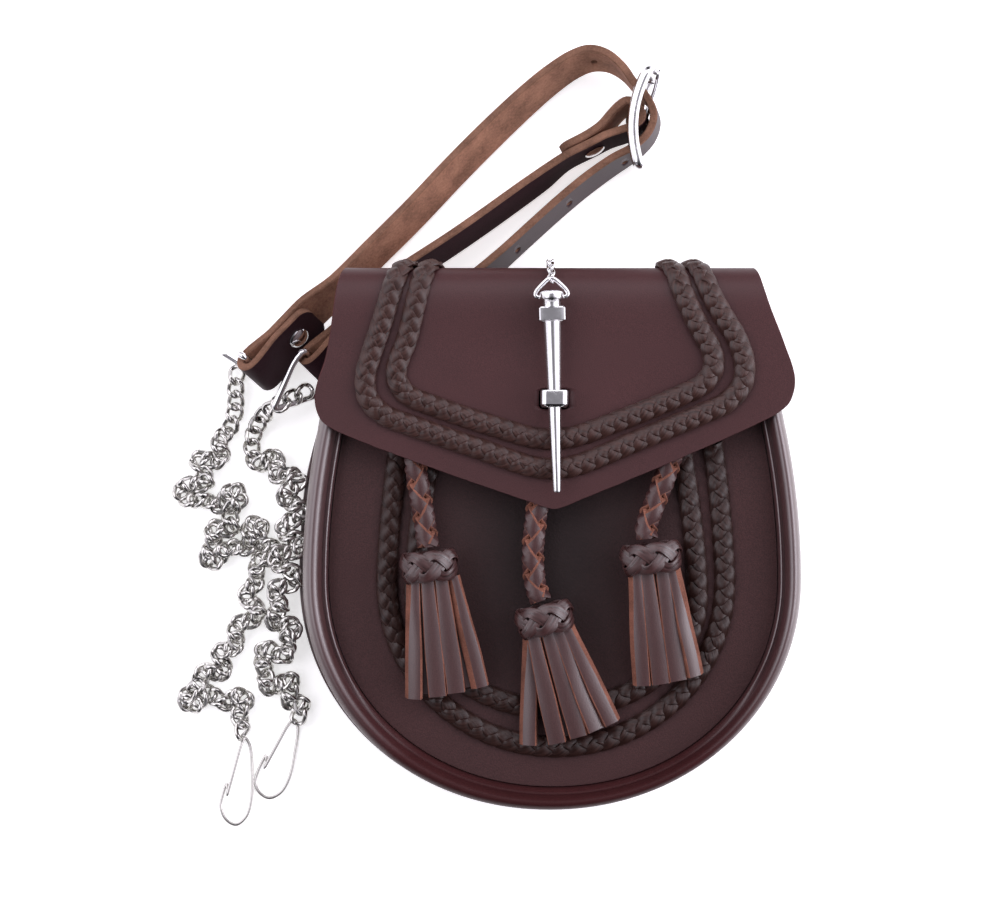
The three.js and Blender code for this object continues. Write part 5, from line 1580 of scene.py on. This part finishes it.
class SPORRAN_OT_stage(bpy.types.Operator):
    """Makes the pale floor, the soft lights and the camera above."""

    bl_idname = "sporran.stage"
    bl_label = "Stage"

    def execute(self, context):
        stage = context.scene.sporran_stage
        self.floor(stage)
        self.room(context, stage)
        for name, (place, size, power, share) in SOFT_BOXES.items():
            self.soft_box(name, Vector(place), size, getattr(stage, power) * share)
        camera = bpy.data.objects.new("camera_above", bpy.data.cameras.new("camera_above"))
        camera.location = Vector(CAMERA_AT) * MM
        camera.data.lens = LENS
        camera.data.sensor_width = SENSOR
        camera.data.sensor_fit = "HORIZONTAL"
        context.collection.objects.link(camera)
        context.scene.camera = camera
        context.scene.view_settings.view_transform = "Standard"
        return {"FINISHED"}

    def room(self, context, stage):
        """Room with bright side walls, a dim ceiling and a dark foot end, for dark lines on round steel."""
        world = bpy.data.worlds.new("studio_room")
        world.use_nodes = True
        tree = world.node_tree
        way = put(tree, "ShaderNodeTexCoord").outputs["Generated"]
        parts = put(tree, "ShaderNodeSeparateXYZ", {"Vector": way}).outputs
        light = put(tree, "ShaderNodeMapRange",
                    {0: parts["Z"], 1: 0.45, 2: 0.9, 3: stage.walls, 4: stage.ceiling})
        right = put(tree, "ShaderNodeMapRange",
                    {0: parts["X"], 1: 0.2, 2: 0.8, 3: 0.0, 4: stage.right_wall})
        left = put(tree, "ShaderNodeMapRange",
                   {0: parts["X"], 1: -0.2, 2: -0.6, 3: 0.0, 4: stage.left_wall})
        sides = put(tree, "ShaderNodeMath", {0: right.outputs[0], 1: left.outputs[0]}, operation="ADD")
        whole = put(tree, "ShaderNodeMath", {0: light.outputs[0], 1: sides.outputs[0]}, operation="ADD")
        foot = put(tree, "ShaderNodeMapRange", {0: parts["Y"], 1: -0.6, 2: 0.0, 3: 0.2, 4: 1.0})
        both = put(tree, "ShaderNodeMath", {0: whole.outputs[0], 1: foot.outputs[0]}, operation="MULTIPLY")
        tree.links.new(both.outputs[0], tree.nodes["Background"].inputs["Strength"])
        tree.nodes["Background"].inputs["Color"].default_value = ROOM_TINT
        context.scene.world = world

    def floor(self, stage):
        """Wide paper sweep under the pouch."""
        mesh = bpy.data.meshes.new("paper_floor")
        half, low = FLOOR_HALF, -0.1 * MM
        mesh.from_pydata([(-half, -half, low), (half, -half, low), (half, half, low), (-half, half, low)],
                         [], [(0, 1, 2, 3)])
        material, _, surface = shader("matte_paper_floor")
        surface.inputs["Base Color"].default_value = (*stage.floor, 1)
        surface.inputs["Roughness"].default_value = 0.9
        surface.inputs["Specular IOR Level"].default_value = 0.0
        surface.inputs["Emission Color"].default_value = (1, 1, 1, 1)
        surface.inputs["Emission Strength"].default_value = stage.floor_glow
        mesh.materials.append(material)
        floor = bpy.data.objects.new("paper_floor", mesh)
        bpy.context.collection.objects.link(floor)

    def soft_box(self, name, place, size, power):
        """Rectangular soft light aimed at the pouch."""
        light = bpy.data.lights.new(name, "AREA")
        light.shape = "RECTANGLE"
        light.size, light.size_y = size[0] * MM, size[1] * MM
        light.energy = power
        light.color = LIGHT_TINT
        lamp = bpy.data.objects.new(name, light)
        lamp.location = place * MM
        lamp.rotation_euler = (LIGHT_AIM - place).to_track_quat("-Z", "Y").to_euler()
        bpy.context.collection.objects.link(lamp)


class SPORRAN_PT_pieces(bpy.types.Panel):
    """Lists the sporran's pieces, sizes and colours."""

    bl_label = "Day sporran"
    bl_idname = "SPORRAN_PT_pieces"
    bl_space_type = "VIEW_3D"
    bl_region_type = "UI"
    bl_category = "Sporran"

    def draw(self, context):
        for operator in PIECES:
            self.layout.operator(operator.bl_idname)
        for group in (context.scene.sporran_colours, context.scene.sporran_sizes,
                      context.scene.sporran_stage):
            for key in group.bl_rna.properties.keys():
                if key not in ("name", "rna_type"):
                    self.layout.prop(group, key)


PIECES = (
    SPORRAN_OT_stage, SPORRAN_OT_back_and_flap, SPORRAN_OT_gusset, SPORRAN_OT_front_panel,
    SPORRAN_OT_plaits,
    SPORRAN_OT_tassels, SPORRAN_OT_peg_closure, SPORRAN_OT_straps, SPORRAN_OT_rivets, SPORRAN_OT_buckle,
    SPORRAN_OT_rings, SPORRAN_OT_chains, SPORRAN_OT_clips,
)
GROUPS = {"sporran_colours": SporranColours, "sporran_sizes": SporranSizes, "sporran_stage": SporranStage}


def register():
    """Registers the classes and the scene's settings."""
    for made in (*GROUPS.values(), *PIECES, SPORRAN_PT_pieces):
        bpy.utils.register_class(made)
    for key, group in GROUPS.items():
        setattr(bpy.types.Scene, key, PointerProperty(type=group))


def unregister():
    """Takes the classes and the scene's settings out again."""
    for key in GROUPS:
        delattr(bpy.types.Scene, key)
    for made in (SPORRAN_PT_pieces, *reversed(PIECES), *reversed(GROUPS.values())):
        bpy.utils.unregister_class(made)


def main():
    """Builds every piece in order."""
    register()
    for operator in PIECES:
        group, name = operator.bl_idname.split(".")
        getattr(getattr(bpy.ops, group), name)()


if __name__ == "__main__":
    main()
